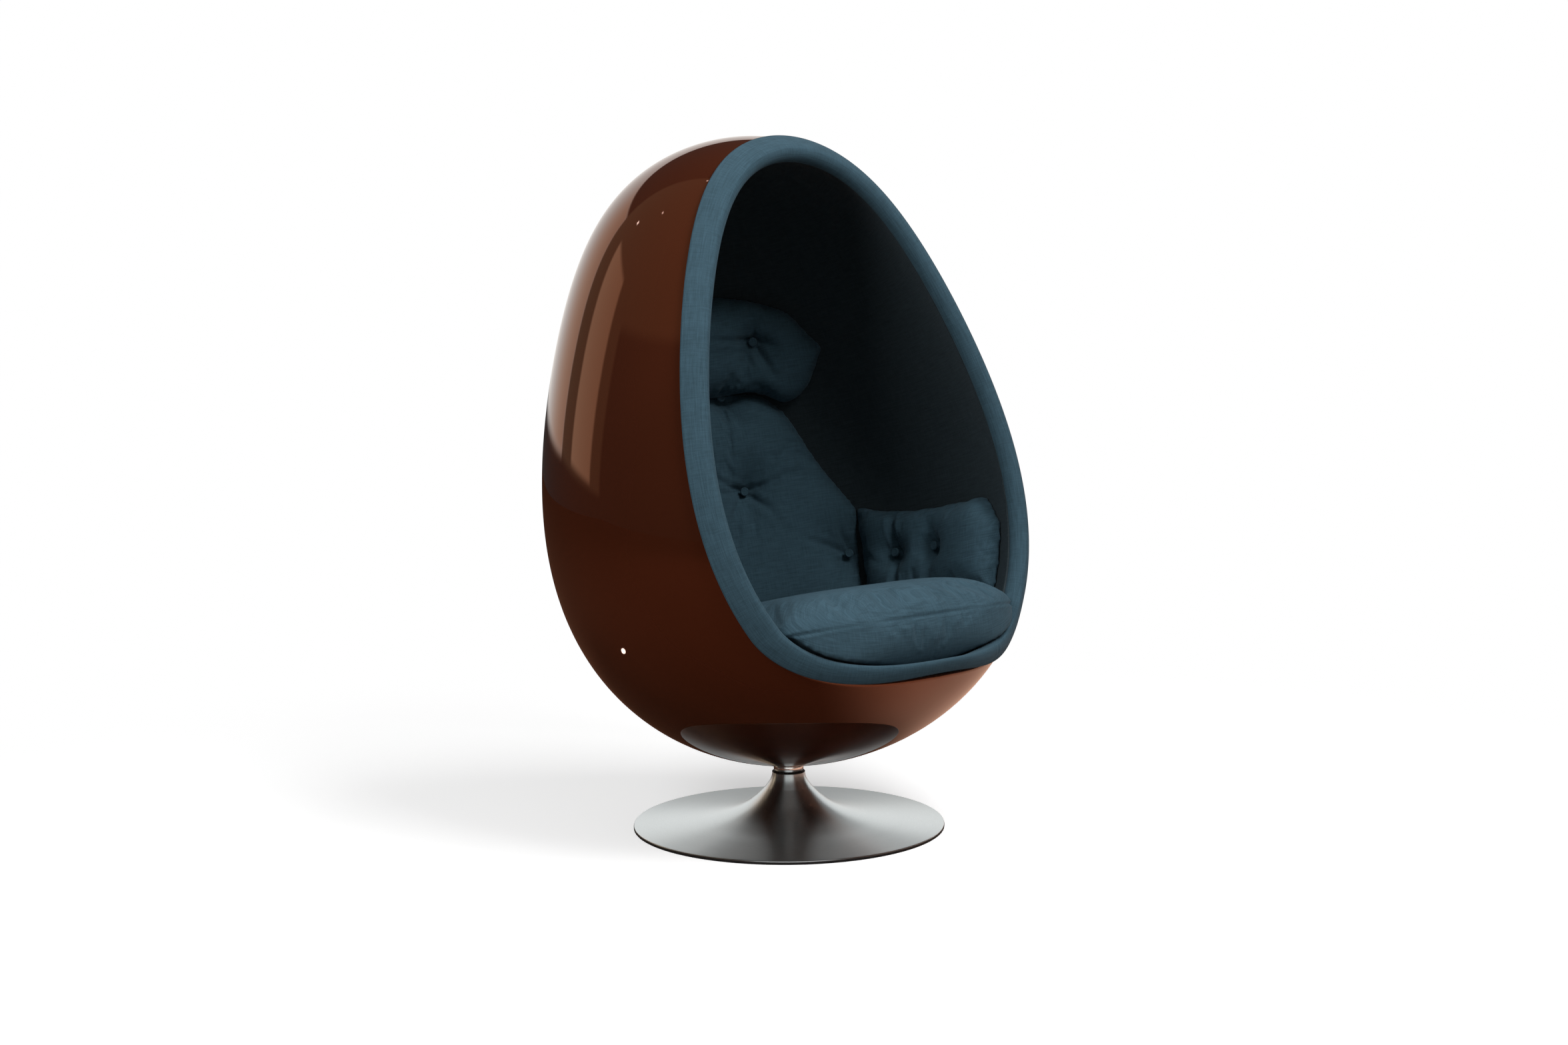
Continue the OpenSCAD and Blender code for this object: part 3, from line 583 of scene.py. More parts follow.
def cloth_material(name, base):
    """Plain linen weave: two crossed sets of threads as rounded waves, slubs as long thin noise both ways,
    and a soft mottle over the hand's breadth. Coordinates are the piece's own cloth map, in metres."""
    thread = bpy.context.scene.pod_finishes.thread
    m = Finish(name)
    base = np.array(base)
    uv = m.add("ShaderNodeUVMap", uv_map="cloth").outputs[0]
    warp, weft = (m.math("ABSOLUTE", m.math("SINE", m.math("MULTIPLY", way, math.pi / thread)))
                  for way in m.add("ShaderNodeSeparateXYZ", uv).outputs[0:2])
    threads = m.tint(m.noise(uv, 1 / thread, detail=0.0), 0.42, 0.58, warp, weft)
    along_warp = m.noise(uv, SLUB_CELLS, detail=3.0, rough=0.6, stretch=(0.06, 1.0, 1.0))
    along_weft = m.noise(uv, SLUB_CELLS, detail=3.0, rough=0.6, stretch=(1.0, 0.08, 1.0))
    slubs = m.weighed(along_warp, 0.6, along_weft, 0.4)
    mottle, patch = m.noise(uv, MOTTLE_CELLS, detail=4.0, rough=0.62), m.noise(uv, PATCH_CELLS)
    streaked = m.tint(slubs, 0.38, 0.62, base * 0.53, base * 1.50)
    mottled = m.tint(mottle, 0.32, 0.70, base * 0.84, base * 1.16)
    patched = m.ramp(patch, ((0.3, base * 0.88), (0.7, base * 1.12)))
    shaded = m.mix(0.35, m.mix(0.35, streaked, mottled), patched)
    gaps = m.math("MULTIPLY", m.math("SUBTRACT", 1.0, threads), 0.30)
    m.colour(m.mix(gaps, shaded, base * 0.45))
    m.bump(m.weighed(threads, 0.6, slubs, 0.9), distance=0.0006, strength=0.5)
    m.put(Roughness=0.9, Specular_IOR_Level=0.15, Sheen_Weight=0.06, Sheen_Roughness=0.5,
          Sheen_Tint=(0.55, 0.68, 0.78, 1.0))
    return m.material


def shell_material():
    """Dark lacquer over glass fibre: an even colour with faint depth, whose hard mirror is warm where it is
    met square on and turns white towards the edges."""
    m = Finish("shell_gloss")
    base = np.array(bpy.context.scene.pod_finishes.shell)
    place = m.place()
    m.colour(m.tint(m.noise(place, 3.0), 0.35, 0.65, base * 0.94, base * 1.06))
    m.rough(m.noise(place, 900.0), smooth=0.022, dull=0.034)
    m.bump(m.noise(place, 14.0, detail=1.0), distance=0.0004, strength=0.12)
    m.put(Specular_IOR_Level=1.0, Specular_Tint=(1.0, 0.45, 0.28, 1.0))
    return m.material


def steel_material():
    """Spun sheet brushed round its axis: fine scratches that follow rings, as noise over radius and height
    with the turn pressed flat, and a highlight drawn out across them."""
    m = Finish("brushed_steel")
    base = np.array(bpy.context.scene.pod_finishes.steel)
    x, y, z = m.add("ShaderNodeSeparateXYZ", m.place()).outputs[0:3]
    flat_turn = m.math("MULTIPLY", m.math("ARCTAN2", y, x), 0.004)
    rings_map = m.add("ShaderNodeCombineXYZ", m.math("SUBTRACT", m.far(x, y), z), flat_turn).outputs[0]
    scratch, band = m.noise(rings_map, 2600.0, detail=4.0, rough=0.7), m.noise(rings_map, 160.0)
    m.colour(m.tint(scratch, 0.3, 0.7, base * 0.86, np.minimum(base * 1.12, 1)))
    m.rough(m.weighed(scratch, 0.85, band, 0.15), smooth=0.28, dull=0.38)
    m.bump(scratch, distance=0.00012, strength=0.25)
    tangent = m.add("ShaderNodeTangent", direction_type="RADIAL", axis="Z")
    m.feed(m.shader.inputs["Tangent"], tangent.outputs[0])
    # A quarter turn lays the highlight across the scratches, as on spun sheet
    m.put(Metallic=1.0, Anisotropic=0.85, Anisotropic_Rotation=0.25)
    return m.material


def polish_material():
    """Polished steel with faint turning marks."""
    m = Finish("polished_steel")
    base = np.array(bpy.context.scene.pod_finishes.polish)
    marks = m.noise(m.place(), 900.0, stretch=(0.05, 0.05, 1.0))
    m.colour(m.tint(marks, 0.4, 0.6, base * 0.92, base))
    m.rough(marks, smooth=0.20, dull=0.28)
    m.put(Metallic=1.0)
    return m.material


# How much the grain of a plain finish changes its colour, as a share, and its roughness
GRAIN_SHARE = 0.12
GRAIN_ROUGH = 0.06


def plain_material(name, base, rough, metal=0.0, grain=600.0, stretch=(1.0, 1.0, 1.0), depth=0.0002):
    """A finish with grain: noise in colour, roughness and bump on the object's own coordinates."""
    m = Finish(name)
    base = np.array(base)
    speck = m.noise(m.place(), grain, detail=4.0, rough=0.6, stretch=stretch)
    m.colour(m.tint(speck, 0.35, 0.65, base * (1 - GRAIN_SHARE), np.minimum(base * (1 + GRAIN_SHARE), 1)))
    m.rough(speck, rough - GRAIN_ROUGH, min(rough + GRAIN_ROUGH, 1.0))
    m.bump(speck, depth, strength=0.4)
    m.put(Metallic=metal)
    return m.material


# Soft pieces: starting shapes, cloth, folds

# Powers of a wall cushion's swell and of a dimple's pointed fall, and the least thickness left in a dimple
EDGE_POWER = 4
DIMPLE_POWER = 1.4
LEAST_THICK = 0.007
# Reach of the pins round a button, and distance off the lining over which a cushion is let go
PIN_REACH = 0.022
HOLD_REACH = 0.012
# Radius at which the turn on the wall is measured as cloth
WALL_CLOTH_RADIUS = 0.36
# Power of a crease's valley, and the swell beside it: height as a share of the crease's depth, then distance
# and half width as shares of its width
VALLEY_POWER = 1.2
SWELL_SHARES = (0.26, 2.1, 1.1)
# Pressure of the stuffing and the number of steps of the cloth simulation
PRESSURE = 4.0
CLOTH_STEPS = 20


def swell(s, t, power):
    """Pillow share: 1 in the middle and 0 at the edges, the root of two falling powers multiplied."""
    return np.sqrt(np.clip(1 - np.abs(s) ** power, 0, None) * np.clip(1 - np.abs(t) ** power, 0, None))


def along(values, share):
    """Smooth reading of values at even steps over 0 to 1, as a Catmull-Rom curve."""
    v = np.asarray(values, float)
    q = np.clip(share, 0, 1) * (len(v) - 1)
    i = np.minimum(q.astype(int), len(v) - 2)
    t = q - i
    a, b, c, d = v[np.maximum(i - 1, 0)], v[i], v[i + 1], v[np.minimum(i + 2, len(v) - 1)]
    square, cube = 2 * a - 5 * b + 4 * c - d, 3 * b - a - 3 * c + d
    return 0.5 * (2 * b + (c - a) * t + square * t ** 2 + cube * t ** 3)


def eased(count):
    """Values from -1 to 1, drawn together at both ends as a cosine."""
    return -np.cos(np.linspace(0, math.pi, count + 1))


def pillow(front, back):
    """A closed skin over a front grid and a back grid that meet along their outer edge."""
    n, m = front.shape[:2]
    i, k = np.meshgrid(np.arange(n - 1), np.arange(m - 1), indexing="ij")
    corners = [(i, k), (i + 1, k), (i + 1, k + 1), (i, k + 1)]
    before = np.stack([r * m + c for r, c in corners], -1).reshape(-1, 4)
    edges = [(r == 0) | (c == 0) | (r == n - 1) | (c == m - 1) for r, c in corners]
    behind = before + np.where(np.stack(edges, -1).reshape(-1, 4), 0, n * m)
    points = np.concatenate([front.reshape(-1, 3), back.reshape(-1, 3)])
    return mesh_of("cushion_work", points, before.tolist() + behind[:, ::-1].tolist())


def evaluated_mesh(obj):
    """The mesh that an object's modifiers make, as a mesh of its own; the object is removed."""
    made = bpy.data.meshes.new_from_object(obj.evaluated_get(bpy.context.evaluated_depsgraph_get()))
    bpy.data.objects.remove(obj)
    return made


def work_object(mesh, kind):
    """A work object round a mesh, with one modifier."""
    obj = placed("work", mesh)
    return obj, obj.modifiers.new(kind.title(), kind)


def remeshed(mesh, voxel):
    """The same shape as even quads: a voxel remesh, taken as a new mesh."""
    obj, step = work_object(mesh, "REMESH")
    step.mode = "VOXEL"
    step.voxel_size = voxel
    return evaluated_mesh(obj)


def puffed(starts, pressure, cap):
    """Fills cushions, given as (mesh, pinned weights). The cloth is stepped for all at once, and how far a
    point has moved is capped before it is written back."""
    scene = bpy.context.scene
    workers = []
    for mesh, pins in starts:
        obj, step = work_object(mesh, "CLOTH")
        group = obj.vertex_groups.new(name="pins")
        for level in (0.25, 0.5, 0.75, 1.0):
            hit = np.nonzero((pins > level - 0.25) & (pins <= level))[0]
            if len(hit):
                group.add(hit.tolist(), level, "REPLACE")
        s = step.settings
        s.quality = 4
        s.mass = 0.3
        s.tension_stiffness = s.compression_stiffness = 12
        s.shear_stiffness = 4
        s.bending_stiffness = 0.6
        s.vertex_group_mass = "pins"
        s.pin_stiffness = 1.0
        s.use_pressure = True
        s.uniform_pressure_force = pressure
        s.shrink_min = -0.03
        s.effector_weights.gravity = 0
        step.point_cache.frame_start, step.point_cache.frame_end = 1, CLOTH_STEPS
        workers.append((obj, points_of(mesh)))
    for frame_number in range(1, CLOTH_STEPS + 1):
        scene.frame_set(frame_number)
    depsgraph = bpy.context.evaluated_depsgraph_get()
    for obj, start in workers:
        moved = points_of(obj.evaluated_get(depsgraph).data) - start
        far = np.linalg.norm(moved, axis=1, keepdims=True)
        moved *= cap * np.tanh(far / cap) / np.maximum(far, 1e-9)
        mesh = obj.data
        bpy.data.objects.remove(obj)
        set_points(mesh, start + moved)
    scene.frame_set(1)


def subdivided(mesh):
    """The same mesh with every face divided once and rounded."""
    obj, step = work_object(mesh, "SUBSURF")
    step.levels = step.render_levels = 1
    return evaluated_mesh(obj)


def path_distance(p, path):
    """Distance of points from a path through its stops, and the share of the path where each is nearest."""
    best, share = np.full(len(p), 1e9), np.zeros(len(p))
    for n in range(len(path) - 1):
        a, b = path[n], path[n + 1]
        t = np.clip((p - a) @ (b - a) / max((b - a) @ (b - a), 1e-12), 0, 1)
        d = np.linalg.norm(p - (a + t[:, None] * (b - a)), axis=1)
        near = d < best
        best[near] = d[near]
        share[near] = ((n + t) / (len(path) - 1))[near]
    return best, share


def fold(p, path, depth, width, fade):
    """A crease along a path: how far its pointed valley sinks each point and the low swell beside it lifts
    it, with a depth that goes from one share to the other along the path."""
    d, share = path_distance(p, path)
    level = depth * (fade[0] + (fade[1] - fade[0]) * share)
    height, place, spread = SWELL_SHARES
    lift = height * level * np.exp(-((d - place * width) / (spread * width)) ** 2)
    return level * np.exp(-np.abs(d / width) ** VALLEY_POWER), lift


class WallCushion:
    """Tufted cushion on the wall: u runs across from -1 to 1 and v up from 0 to 1."""

    def __init__(self, turn, height, thick, tufts, off):
        self.turn, self.height, self.thick, self.tufts, self.off = turn, height, thick, tufts, off

    def place(self, u, v, thick):
        """Place at (u, v), stood off the wall by a thickness."""
        u, v = np.broadcast_arrays(np.asarray(u, float), np.asarray(v, float))
        return wall_point(self.turn(u, v), self.height(u, v), thick, self.off)

    def depth(self, u, v):
        """Thickness: the pillow swell less a pointed dimple at each tuft."""
        c = cushion_sizes()
        u, v = np.broadcast_arrays(np.asarray(u, float), np.asarray(v, float))
        full = self.thick * swell(u, 2 * v - 1, EDGE_POWER)
        p = self.place(u, v, 0.0)
        pull = np.zeros(u.shape)
        for tuft in self.tufts:
            d = np.linalg.norm(p - self.place(*tuft, 0.0), axis=-1)
            pull = np.maximum(pull, np.exp(-(d / c.tuft_size) ** DIMPLE_POWER))
        return np.maximum(full - c.tuft_depth * pull, np.minimum(full, LEAST_THICK))

    def surface(self, u, v):
        """Place at (u, v) on the cushion's front."""
        return self.place(u, v, self.depth(u, v))

    def mesh(self, columns, rows):
        """The whole cushion, with its points drawn together towards its edges."""
        u, v = eased(columns)[None, :], (1 + eased(rows)[:, None]) / 2
        return pillow(self.surface(u, v), self.place(u, v, np.zeros((rows + 1, columns + 1))))

    def line(self, stops, count=24):
        """A path over the cushion's skin through (u, v) stops."""
        stops = np.array(stops, float)
        t = np.linspace(0, 1, count)
        s = np.linspace(0, 1, len(stops))
        return self.surface(np.interp(t, s, stops[:, 0]), np.interp(t, s, stops[:, 1]))


def both_sides(stops):
    """Stops and their mirror images across the middle."""
    return list(stops) + [(-u, v) for u, v in stops]


def lined_off():
    """How far the open side of the lining is drawn in from the egg, with the gap under a cushion."""
    s = shell_sizes()
    return s.wall + s.foam + s.lining + BED_GAP


# Heights of the wall cushions' edges from the egg's middle: the foot of back and arms, and the crease between
# back and head, which drops by the shoulder towards the sides
BACK_FOOT = 0.318
CREASE = 0.170
CREASE_GAP = 0.0012
SHOULDER = 0.062
# The back's half width in degrees from its foot up, the drop of its top from the middle out, and its buttons
BACK_TURNS = (60.2, 60.2, 60, 60, 60.6, 61.6, 58.5, 55, 52, 49.5, 47)
SHOULDER_SHARES = (0, 0, 0, 0, 0, 0.01, 0.06, 0.26, 0.8)
BACK_TUFTS = ((0.565, 0.985), (0.5, 0.61), (0.96, 0.3))
# The head's half width in degrees, its top, the drop of its ears, and both edges from the middle to the side
HEAD_TURN = 64
HEAD_TOP = 0.360
HEAD_EAR = 0.124
HEAD_TOP_SHARES = (0, 0, 0.013, 0.042, 0.09, 0.165, 0.30, 0.51, 1.05)
HEAD_LOW_SHARES = (0, 0, 0, 0, 0, 0.14, 0.56, 0.20, -0.78)
HEAD_TUFTS = ((0.63, 0.60),)
# The arm's gap from the back and its front end in degrees, its top, and the top's drop from back to front
ARM_GAP = 1.4
ARM_FRONT = 117
ARM_TOP = 0.092
ARM_DROP = 0.100
ARM_TOP_SHARES = (0, 0.17, 0.3, 0.36, 0.4, 0.43, 0.46, 0.5, 1)
ARM_TUFTS = ((-0.53, 0.56), (0.03, 0.56))


def back_shape():
    """The back: level at its foot, with a top that drops at the shoulders and a width read at each height."""
    def height(u, v):
        return -BACK_FOOT + v * (BACK_FOOT + CREASE - SHOULDER * along(SHOULDER_SHARES, np.abs(u)))

    def turn(u, v):
        return np.radians(u * along(BACK_TURNS, v))
    return WallCushion(turn, height, cushion_sizes().back_thick, both_sides(BACK_TUFTS), lined_off())


def head_shape():
    """The head cushion: between the crease above the back and a top that falls away to its ears."""
    def height(u, v):
        low = CREASE + CREASE_GAP - (SHOULDER - CREASE_GAP) * along(HEAD_LOW_SHARES, np.abs(u))
        high = HEAD_TOP - HEAD_EAR * along(HEAD_TOP_SHARES, np.abs(u))
        return low + v * (high - low)

    def turn(u, v):
        return np.radians(u * HEAD_TURN)
    return WallCushion(turn, height, cushion_sizes().head_thick, both_sides(HEAD_TUFTS), lined_off())


def arm_shape():
    """The right arm cushion: from beside the back forward, with a top that drops towards the front."""
    start = BACK_TURNS[1] + ARM_GAP

    def height(u, v):
        high = -ARM_TOP - ARM_DROP * along(ARM_TOP_SHARES, (u + 1) / 2)
        return -BACK_FOOT + v * (high + BACK_FOOT)

    def turn(u, v):
        return np.radians(start + (u + 1) / 2 * (ARM_FRONT - start))
    return WallCushion(turn, height, cushion_sizes().arm_thick, list(ARM_TUFTS), lined_off())


def pins_near(p, centres, reach):
    """Pin weight: 1 at a centre, falling smoothly to 0 at reach."""
    weight = np.zeros(len(p))
    for c in centres:
        weight = np.maximum(weight, np.clip(1 - np.linalg.norm(p - c, axis=1) / reach, 0, 1) ** 0.5)
    return weight


def wall_share(p, off):
    """1 on the lined wall, falling to 0 off it: the part of a cushion that rests on the shell's lining."""
    gap = egg_radius(p[:, 2], off) - np.hypot(p[:, 0], p[:, 1])
    return np.clip(1 - gap / HOLD_REACH, 0, 1)


def wall_cloth_map(p):
    """Cloth coordinates on the wall: the turn times a mean radius, and the height."""
    return np.stack([np.arctan2(p[..., 0], p[..., 1]) * WALL_CLOTH_RADIUS, p[..., 2]], -1)


def seat_cloth_map(p):
    """Cloth coordinates over the seat: across, and forward over the edge and down."""
    return np.stack([p[:, 0], p[:, 1] - p[:, 2]], -1)


def dress(mesh, node, cloth_map, material):
    """Maps the cloth, carries the cushion from the egg's axes to the chair's and makes it a piece."""
    p = points_of(mesh)
    put_uv(mesh, cloth_map(p))
    set_points(mesh, to_frame(p))
    mesh.name = node + "_soft"
    obj = add_object(node + "_soft", mesh)
    finish_piece(obj, POD_BODY, "cushion_cloth", material, node)


def wall_cushion_start(shape, columns, rows):
    """Starting mesh and pins of a wall cushion: held at its buttons and where it lies on the lining."""
    mesh = remeshed(shape.mesh(columns, rows), cushion_sizes().voxel)
    p = points_of(mesh)
    centres = [shape.surface(*t) for t in shape.tufts]
    return mesh, np.maximum(pins_near(p, centres, PIN_REACH), wall_share(p, shape.off))


def creased(mesh, folds):
    """Sinks all folds at once along the normals, the deepest of them and the highest swell at each point."""
    p, normals = points_of(mesh), normals_of(mesh)
    sink, lift = np.zeros(len(p)), np.zeros(len(p))
    for path, depth, width, fade in folds:
        valley, ridge = fold(p, path, depth, width, fade)
        sink, lift = np.maximum(sink, valley), np.maximum(lift, ridge)
    set_points(mesh, p + normals * (lift - sink)[:, None])


def mirrored(path):
    """Points or a direction mirrored across the chair's middle."""
    return path * np.array([-1.0, 1.0, 1.0])


# Seat cushion

# Powers of the rounded square in front, and of the swell of the seat's top and underside
SEAT_CORNER = 2.7
TOP_POWER = 4
UNDER_POWER = 8
# Steps of the seat's grid each way, and of the bowl's profile under it
SEAT_STEPS = 110
BOWL_STEPS = 600
# Depth of the deck's top below the lip
DECK_DROP = 0.004
# Gap over the roll, how round the seat's hollow over it is, the depth over which it gives way to the wall,
# and the stations and sides at which the roll is read
REST_GAP = 0.004
REST_ROUND = 0.012
REST_BLEND = 0.03
REST_STATIONS, REST_SIDES = 208, 16
# The seat is held from this far below its seam, fully after the next depth, and is free in front of the reach
SEAT_HOLD_DROP = 0.02
SEAT_HOLD_DEPTH = 0.03
SEAT_HOLD_REACH = 0.24


def seat_half_width(y, wall):
    """Half width of the seat's seam: the wall's circle behind, a rounded square in front."""
    c = cushion_sizes()
    half = min(c.seat_width / 2, wall - BED_GAP)
    switch = -math.sqrt(wall ** 2 - half ** 2)
    forward = np.clip(switch - y, 0, None) / (c.seat_reach + switch)
    front = half * np.clip(1 - forward ** SEAT_CORNER, 0, 1) ** (1 / SEAT_CORNER)
    return np.where(y >= switch, np.sqrt(np.clip(wall ** 2 - y ** 2, 0, None)), front)


def bowl_height(r, off):
    """Height at which the lined wall has radius r in the egg's lower half, read off its profile."""
    z = np.linspace(-shell_sizes().half_length + off, -cushion_sizes().seat_seam, BOWL_STEPS)
    return np.interp(r, egg_radius(z, off), z)


def seat_mesh():
    """The seat: a crown above its seam, and an underside on the deck, the lined bowl and the roll in front.
    On every point of the roll stands a small dome, a parabola, and the underside keeps above all of them."""
    c, s = cushion_sizes(), shell_sizes()
    off = lined_off()
    wall = float(egg_radius(-c.seat_seam, off))
    deck = -s.lip_drop - DECK_DROP
    t, u = eased(SEAT_STEPS)[:, None], eased(SEAT_STEPS)[None, :]
    y = (wall - c.seat_reach) / 2 + t * (wall + c.seat_reach) / 2
    x = u * seat_half_width(y, wall)
    y = y + 0 * x
    top = -c.seat_seam + c.seat_crown * swell(u, t, TOP_POWER)
    under = -c.seat_seam - (-c.seat_seam - deck - BED_GAP) * swell(u, t, UNDER_POWER)
    roll = roll_grid(REST_STATIONS, REST_SIDES)
    roll = roll[roll[..., 2].min(1) < -c.seat_seam / 2].reshape(-1, 3)
    away = (x[..., None] - roll[:, 0]) ** 2 + (y[..., None] - roll[:, 1]) ** 2
    roll_rest = np.maximum((roll[:, 2] + REST_GAP - away / (2 * REST_ROUND)).max(-1), deck)
    wall_rest = np.maximum(bowl_height(np.hypot(x, y), off), deck)
    share = np.clip((y - side_line(0.0)) / REST_BLEND, 0, 1)
    rest = roll_rest + (wall_rest - roll_rest) * share ** 2 * (3 - 2 * share)
    low = np.minimum(np.maximum(under, rest), -c.seat_seam)
    return pillow(np.stack([x, y, top], -1), np.stack([x, y, low], -1))


def seat_start():
    """Starting mesh and pins of the seat: held on its underside behind the front edge, and on the lining."""
    c = cushion_sizes()
    mesh = remeshed(seat_mesh(), c.voxel)
    p = points_of(mesh)
    under = np.clip((-c.seat_seam - SEAT_HOLD_DROP - p[:, 2]) / SEAT_HOLD_DEPTH, 0, 1)
    return mesh, np.maximum(under * (p[:, 1] > -SEAT_HOLD_REACH), wall_share(p, lined_off()))


# Rim roll

# Powers of the outer and the inner half of its section, and the least cosine by which its foot is drawn out
OUTER_ROUND = 1.1
INNER_ROUND = 1.3
LEAST_LEAN = 0.6
ROLL_STATIONS, ROLL_SIDES = 720, 36
# Its end seam: depth and half width of the valley, and height, distance and half width of the swell beside it
SEAM_DEPTH, SEAM_WIDTH = 0.0012, 0.0022
SEAM_SWELL, SEAM_SWELL_OFF, SEAM_SWELL_WIDTH = 0.0007, 0.006, 0.004


def roll_grid(stations, sides):
    """Stations round the opening by points over the roll's section.
    The section rises from outside the shell to its crest and turns over to the lining's inner face, each
    half a power of the cosine against a power of the sine. It is turned along the egg's normal and the
    cut's normal at every station, and its foot follows the cut."""
    s, r = shell_sizes(), bpy.context.scene.pod_roll
    p = rim_curve(stations)
    t = unit(np.roll(p, -1, 0) - np.roll(p, 1, 0))
    n, c = egg_normal(p), cut_normal(p)
    d = unit(np.cross(t, c))
    b = unit(np.cross(n, t))
    b *= np.sign(np.sum(b * c, -1, keepdims=True))
    lean = np.maximum(-np.sum(n * d, -1), LEAST_LEAN)
    a = np.linspace(0, math.pi, sides + 1)
    power = np.where(a < math.pi / 2, OUTER_ROUND, INNER_ROUND)
    inner = s.wall + s.foam + s.lining
    cos = np.cos(a)
    across = r.crest + np.where(cos > 0, -(r.crest + r.proud), inner - r.crest) * np.abs(cos) ** power
    rise = np.clip(np.sin(a), 0, 1) ** power
    foot = on_cut(p[:, None] + d[:, None] * (across[None, :] / lean[:, None])[..., None])
    return foot + c[:, None] * BED_GAP + b[:, None] * (r.forward - BED_GAP) * rise[None, :, None]


# Operators: one for each piece or group of like pieces

class PodOperator:
    """Shared settings of the pod's operators."""
    bl_options = {"REGISTER", "UNDO"}


class POD_OT_shell(PodOperator, bpy.types.Operator):
    """Lacquered egg shell, closed at the rim, with the opening cut"""
    bl_idname = "pod.shell"
    bl_label = "Shell"

    def execute(self, context):
        wall = shell_sizes().wall
        outer = bowl(rim_curve(COLUMNS), 0.0, rows=110)
        inner = bowl(rim_curve(COLUMNS, wall), wall, rows=40)
        obj = bowl_skin("shell_surface", np.concatenate([outer[::-1], inner]), (0.0, wall))
        finish_piece(obj, POD_BODY, "shell_gloss", shell_material(), "shell")
        return {"FINISHED"}


def bowl_skin(name, grid, offs, uv=None):
    """A closed skin over a grid that runs from the egg's back to the rim and back again on the inside, with a
    last point behind at each of the two distances off the egg."""
    poles = [to_frame(np.array([0.0, float(egg_radius(0.0, off)), 0.0])) for off in offs]
    obj = skin(name, to_frame(grid), poles=poles, uv=uv)
    outward(obj, to_frame(np.zeros(3)))
    return obj


def outward(obj, middle):
    """Turns a piece inside out if its first face looks towards the middle of its section."""
    face = obj.data.polygons[0]
    if face.normal.dot(face.center - Vector(middle)) < 0:
        obj.data.flip_normals()


# Stand-off of the lining cloth that is turned over the foam's edge
EDGE_GAP = 0.0003


class POD_OT_lining(PodOperator, bpy.types.Operator):
    """Lining cloth stretched over the foam inside the shell and turned over the foam's edge"""
    bl_idname = "pod.lining"
    bl_label = "Lining"

    def execute(self, context):
        s = shell_sizes()
        under, over = s.wall + s.foam, s.wall + s.foam + s.lining
        outer = bowl(rim_curve(COLUMNS, under), under, rows=60)
        inner = bowl(rim_curve(COLUMNS, over), over, rows=100)
        turned = rim_curve(COLUMNS, s.wall + EDGE_GAP)
        grid = np.concatenate([outer[::-1], [turned + cut_normal(turned) * EDGE_GAP], inner])
        grid[len(outer) - 1] += cut_normal(outer[0]) * EDGE_GAP / 2
        grid[len(outer) + 1] += cut_normal(inner[0]) * EDGE_GAP
        obj = bowl_skin("lining_surface", grid, (under, over), wall_cloth_map(grid))
        # The lining's colour holds painted shade: it is darker than the cushions' cloth, for the shade deep
        # inside the shell
        material = cloth_material("lining_cloth", context.scene.pod_finishes.lining)
        finish_piece(obj, POD_BODY, "lining_cloth", material, "lining_fabric")
        return {"FINISHED"}


class POD_OT_roll(PodOperator, bpy.types.Operator):
    """Padded roll round the opening, with a seam where the cloth's ends meet"""
    bl_idname = "pod.roll"
    bl_label = "Rim roll"

    def execute(self, context):
        grid = roll_grid(ROLL_STATIONS, ROLL_SIDES)
        crest = grid[:, ROLL_SIDES // 2]
        step = np.linalg.norm(np.roll(crest, -1, 0) - crest, axis=-1)
        run = np.concatenate([[0], np.cumsum(step)[:-1]])[:, None]
        girth = np.linalg.norm(np.diff(grid[0], axis=0), axis=-1)
        across = np.concatenate([[0], np.cumsum(girth)])
        middle = grid.mean(1, keepdims=True)
        seam = int(ROLL_STATIONS * context.scene.pod_roll.seam_turn / TURN)
        gap = np.abs(run - run[seam])
        swelling = SEAM_SWELL * np.exp(-((gap - SEAM_SWELL_OFF) / SEAM_SWELL_WIDTH) ** 2)
        pinch = SEAM_DEPTH * np.exp(-(gap / SEAM_WIDTH) ** 2) - swelling
        face = np.ones(ROLL_SIDES + 1)
        face[[0, -1]] = 0
        grid = grid - unit(grid - middle) * (pinch * face)[..., None]
        uv = np.stack(np.broadcast_arrays(run, across), -1)
        obj = skin("rim_roll_surface", to_frame(grid), wrap_rows=True, uv=uv)
        outward(obj, to_frame(middle[0, 0]))
        material = cloth_material("rim_cloth", context.scene.pod_finishes.cloth)
        finish_piece(obj, POD_BODY, "rim_cloth", material, "rim_roll")
        return {"FINISHED"}


class POD_OT_cushions(PodOperator, bpy.types.Operator):
    """Seat, back, head and arm cushions, filled by a cloth simulation, then creased and seamed"""
    bl_idname = "pod.cushions"
    bl_label = "Cushions"

    def execute(self, context):
        back, head, arm = back_shape(), head_shape(), arm_shape()
        starts = [
            wall_cushion_start(back, columns=120, rows=110), wall_cushion_start(head, columns=110, rows=60),
            wall_cushion_start(arm, columns=90, rows=60), seat_start()]
        puffed(starts, PRESSURE, cushion_sizes().puff)
        back_mesh, head_mesh, right_mesh, seat = [subdivided(mesh) for mesh, pins in starts]
        creased(back_mesh, back_folds(back))
        creased(head_mesh, head_folds(head))
        creased(right_mesh, arm_folds(arm))
        creased(seat, seat_folds(seat))
        left_mesh = right_mesh.copy()
        set_points(left_mesh, mirrored(points_of(left_mesh)))
        left_mesh.flip_normals()
        cloth = cloth_material("cushion_cloth", context.scene.pod_finishes.cloth)
        dress(seat, "seat_cushion", seat_cloth_map, cloth)
        for node, mesh in (("back_cushion", back_mesh), ("head_cushion", head_mesh),
                           ("arm_cushion_right", right_mesh), ("arm_cushion_left", left_mesh)):
            dress(mesh, node, wall_cloth_map, cloth)
        return {"FINISHED"}


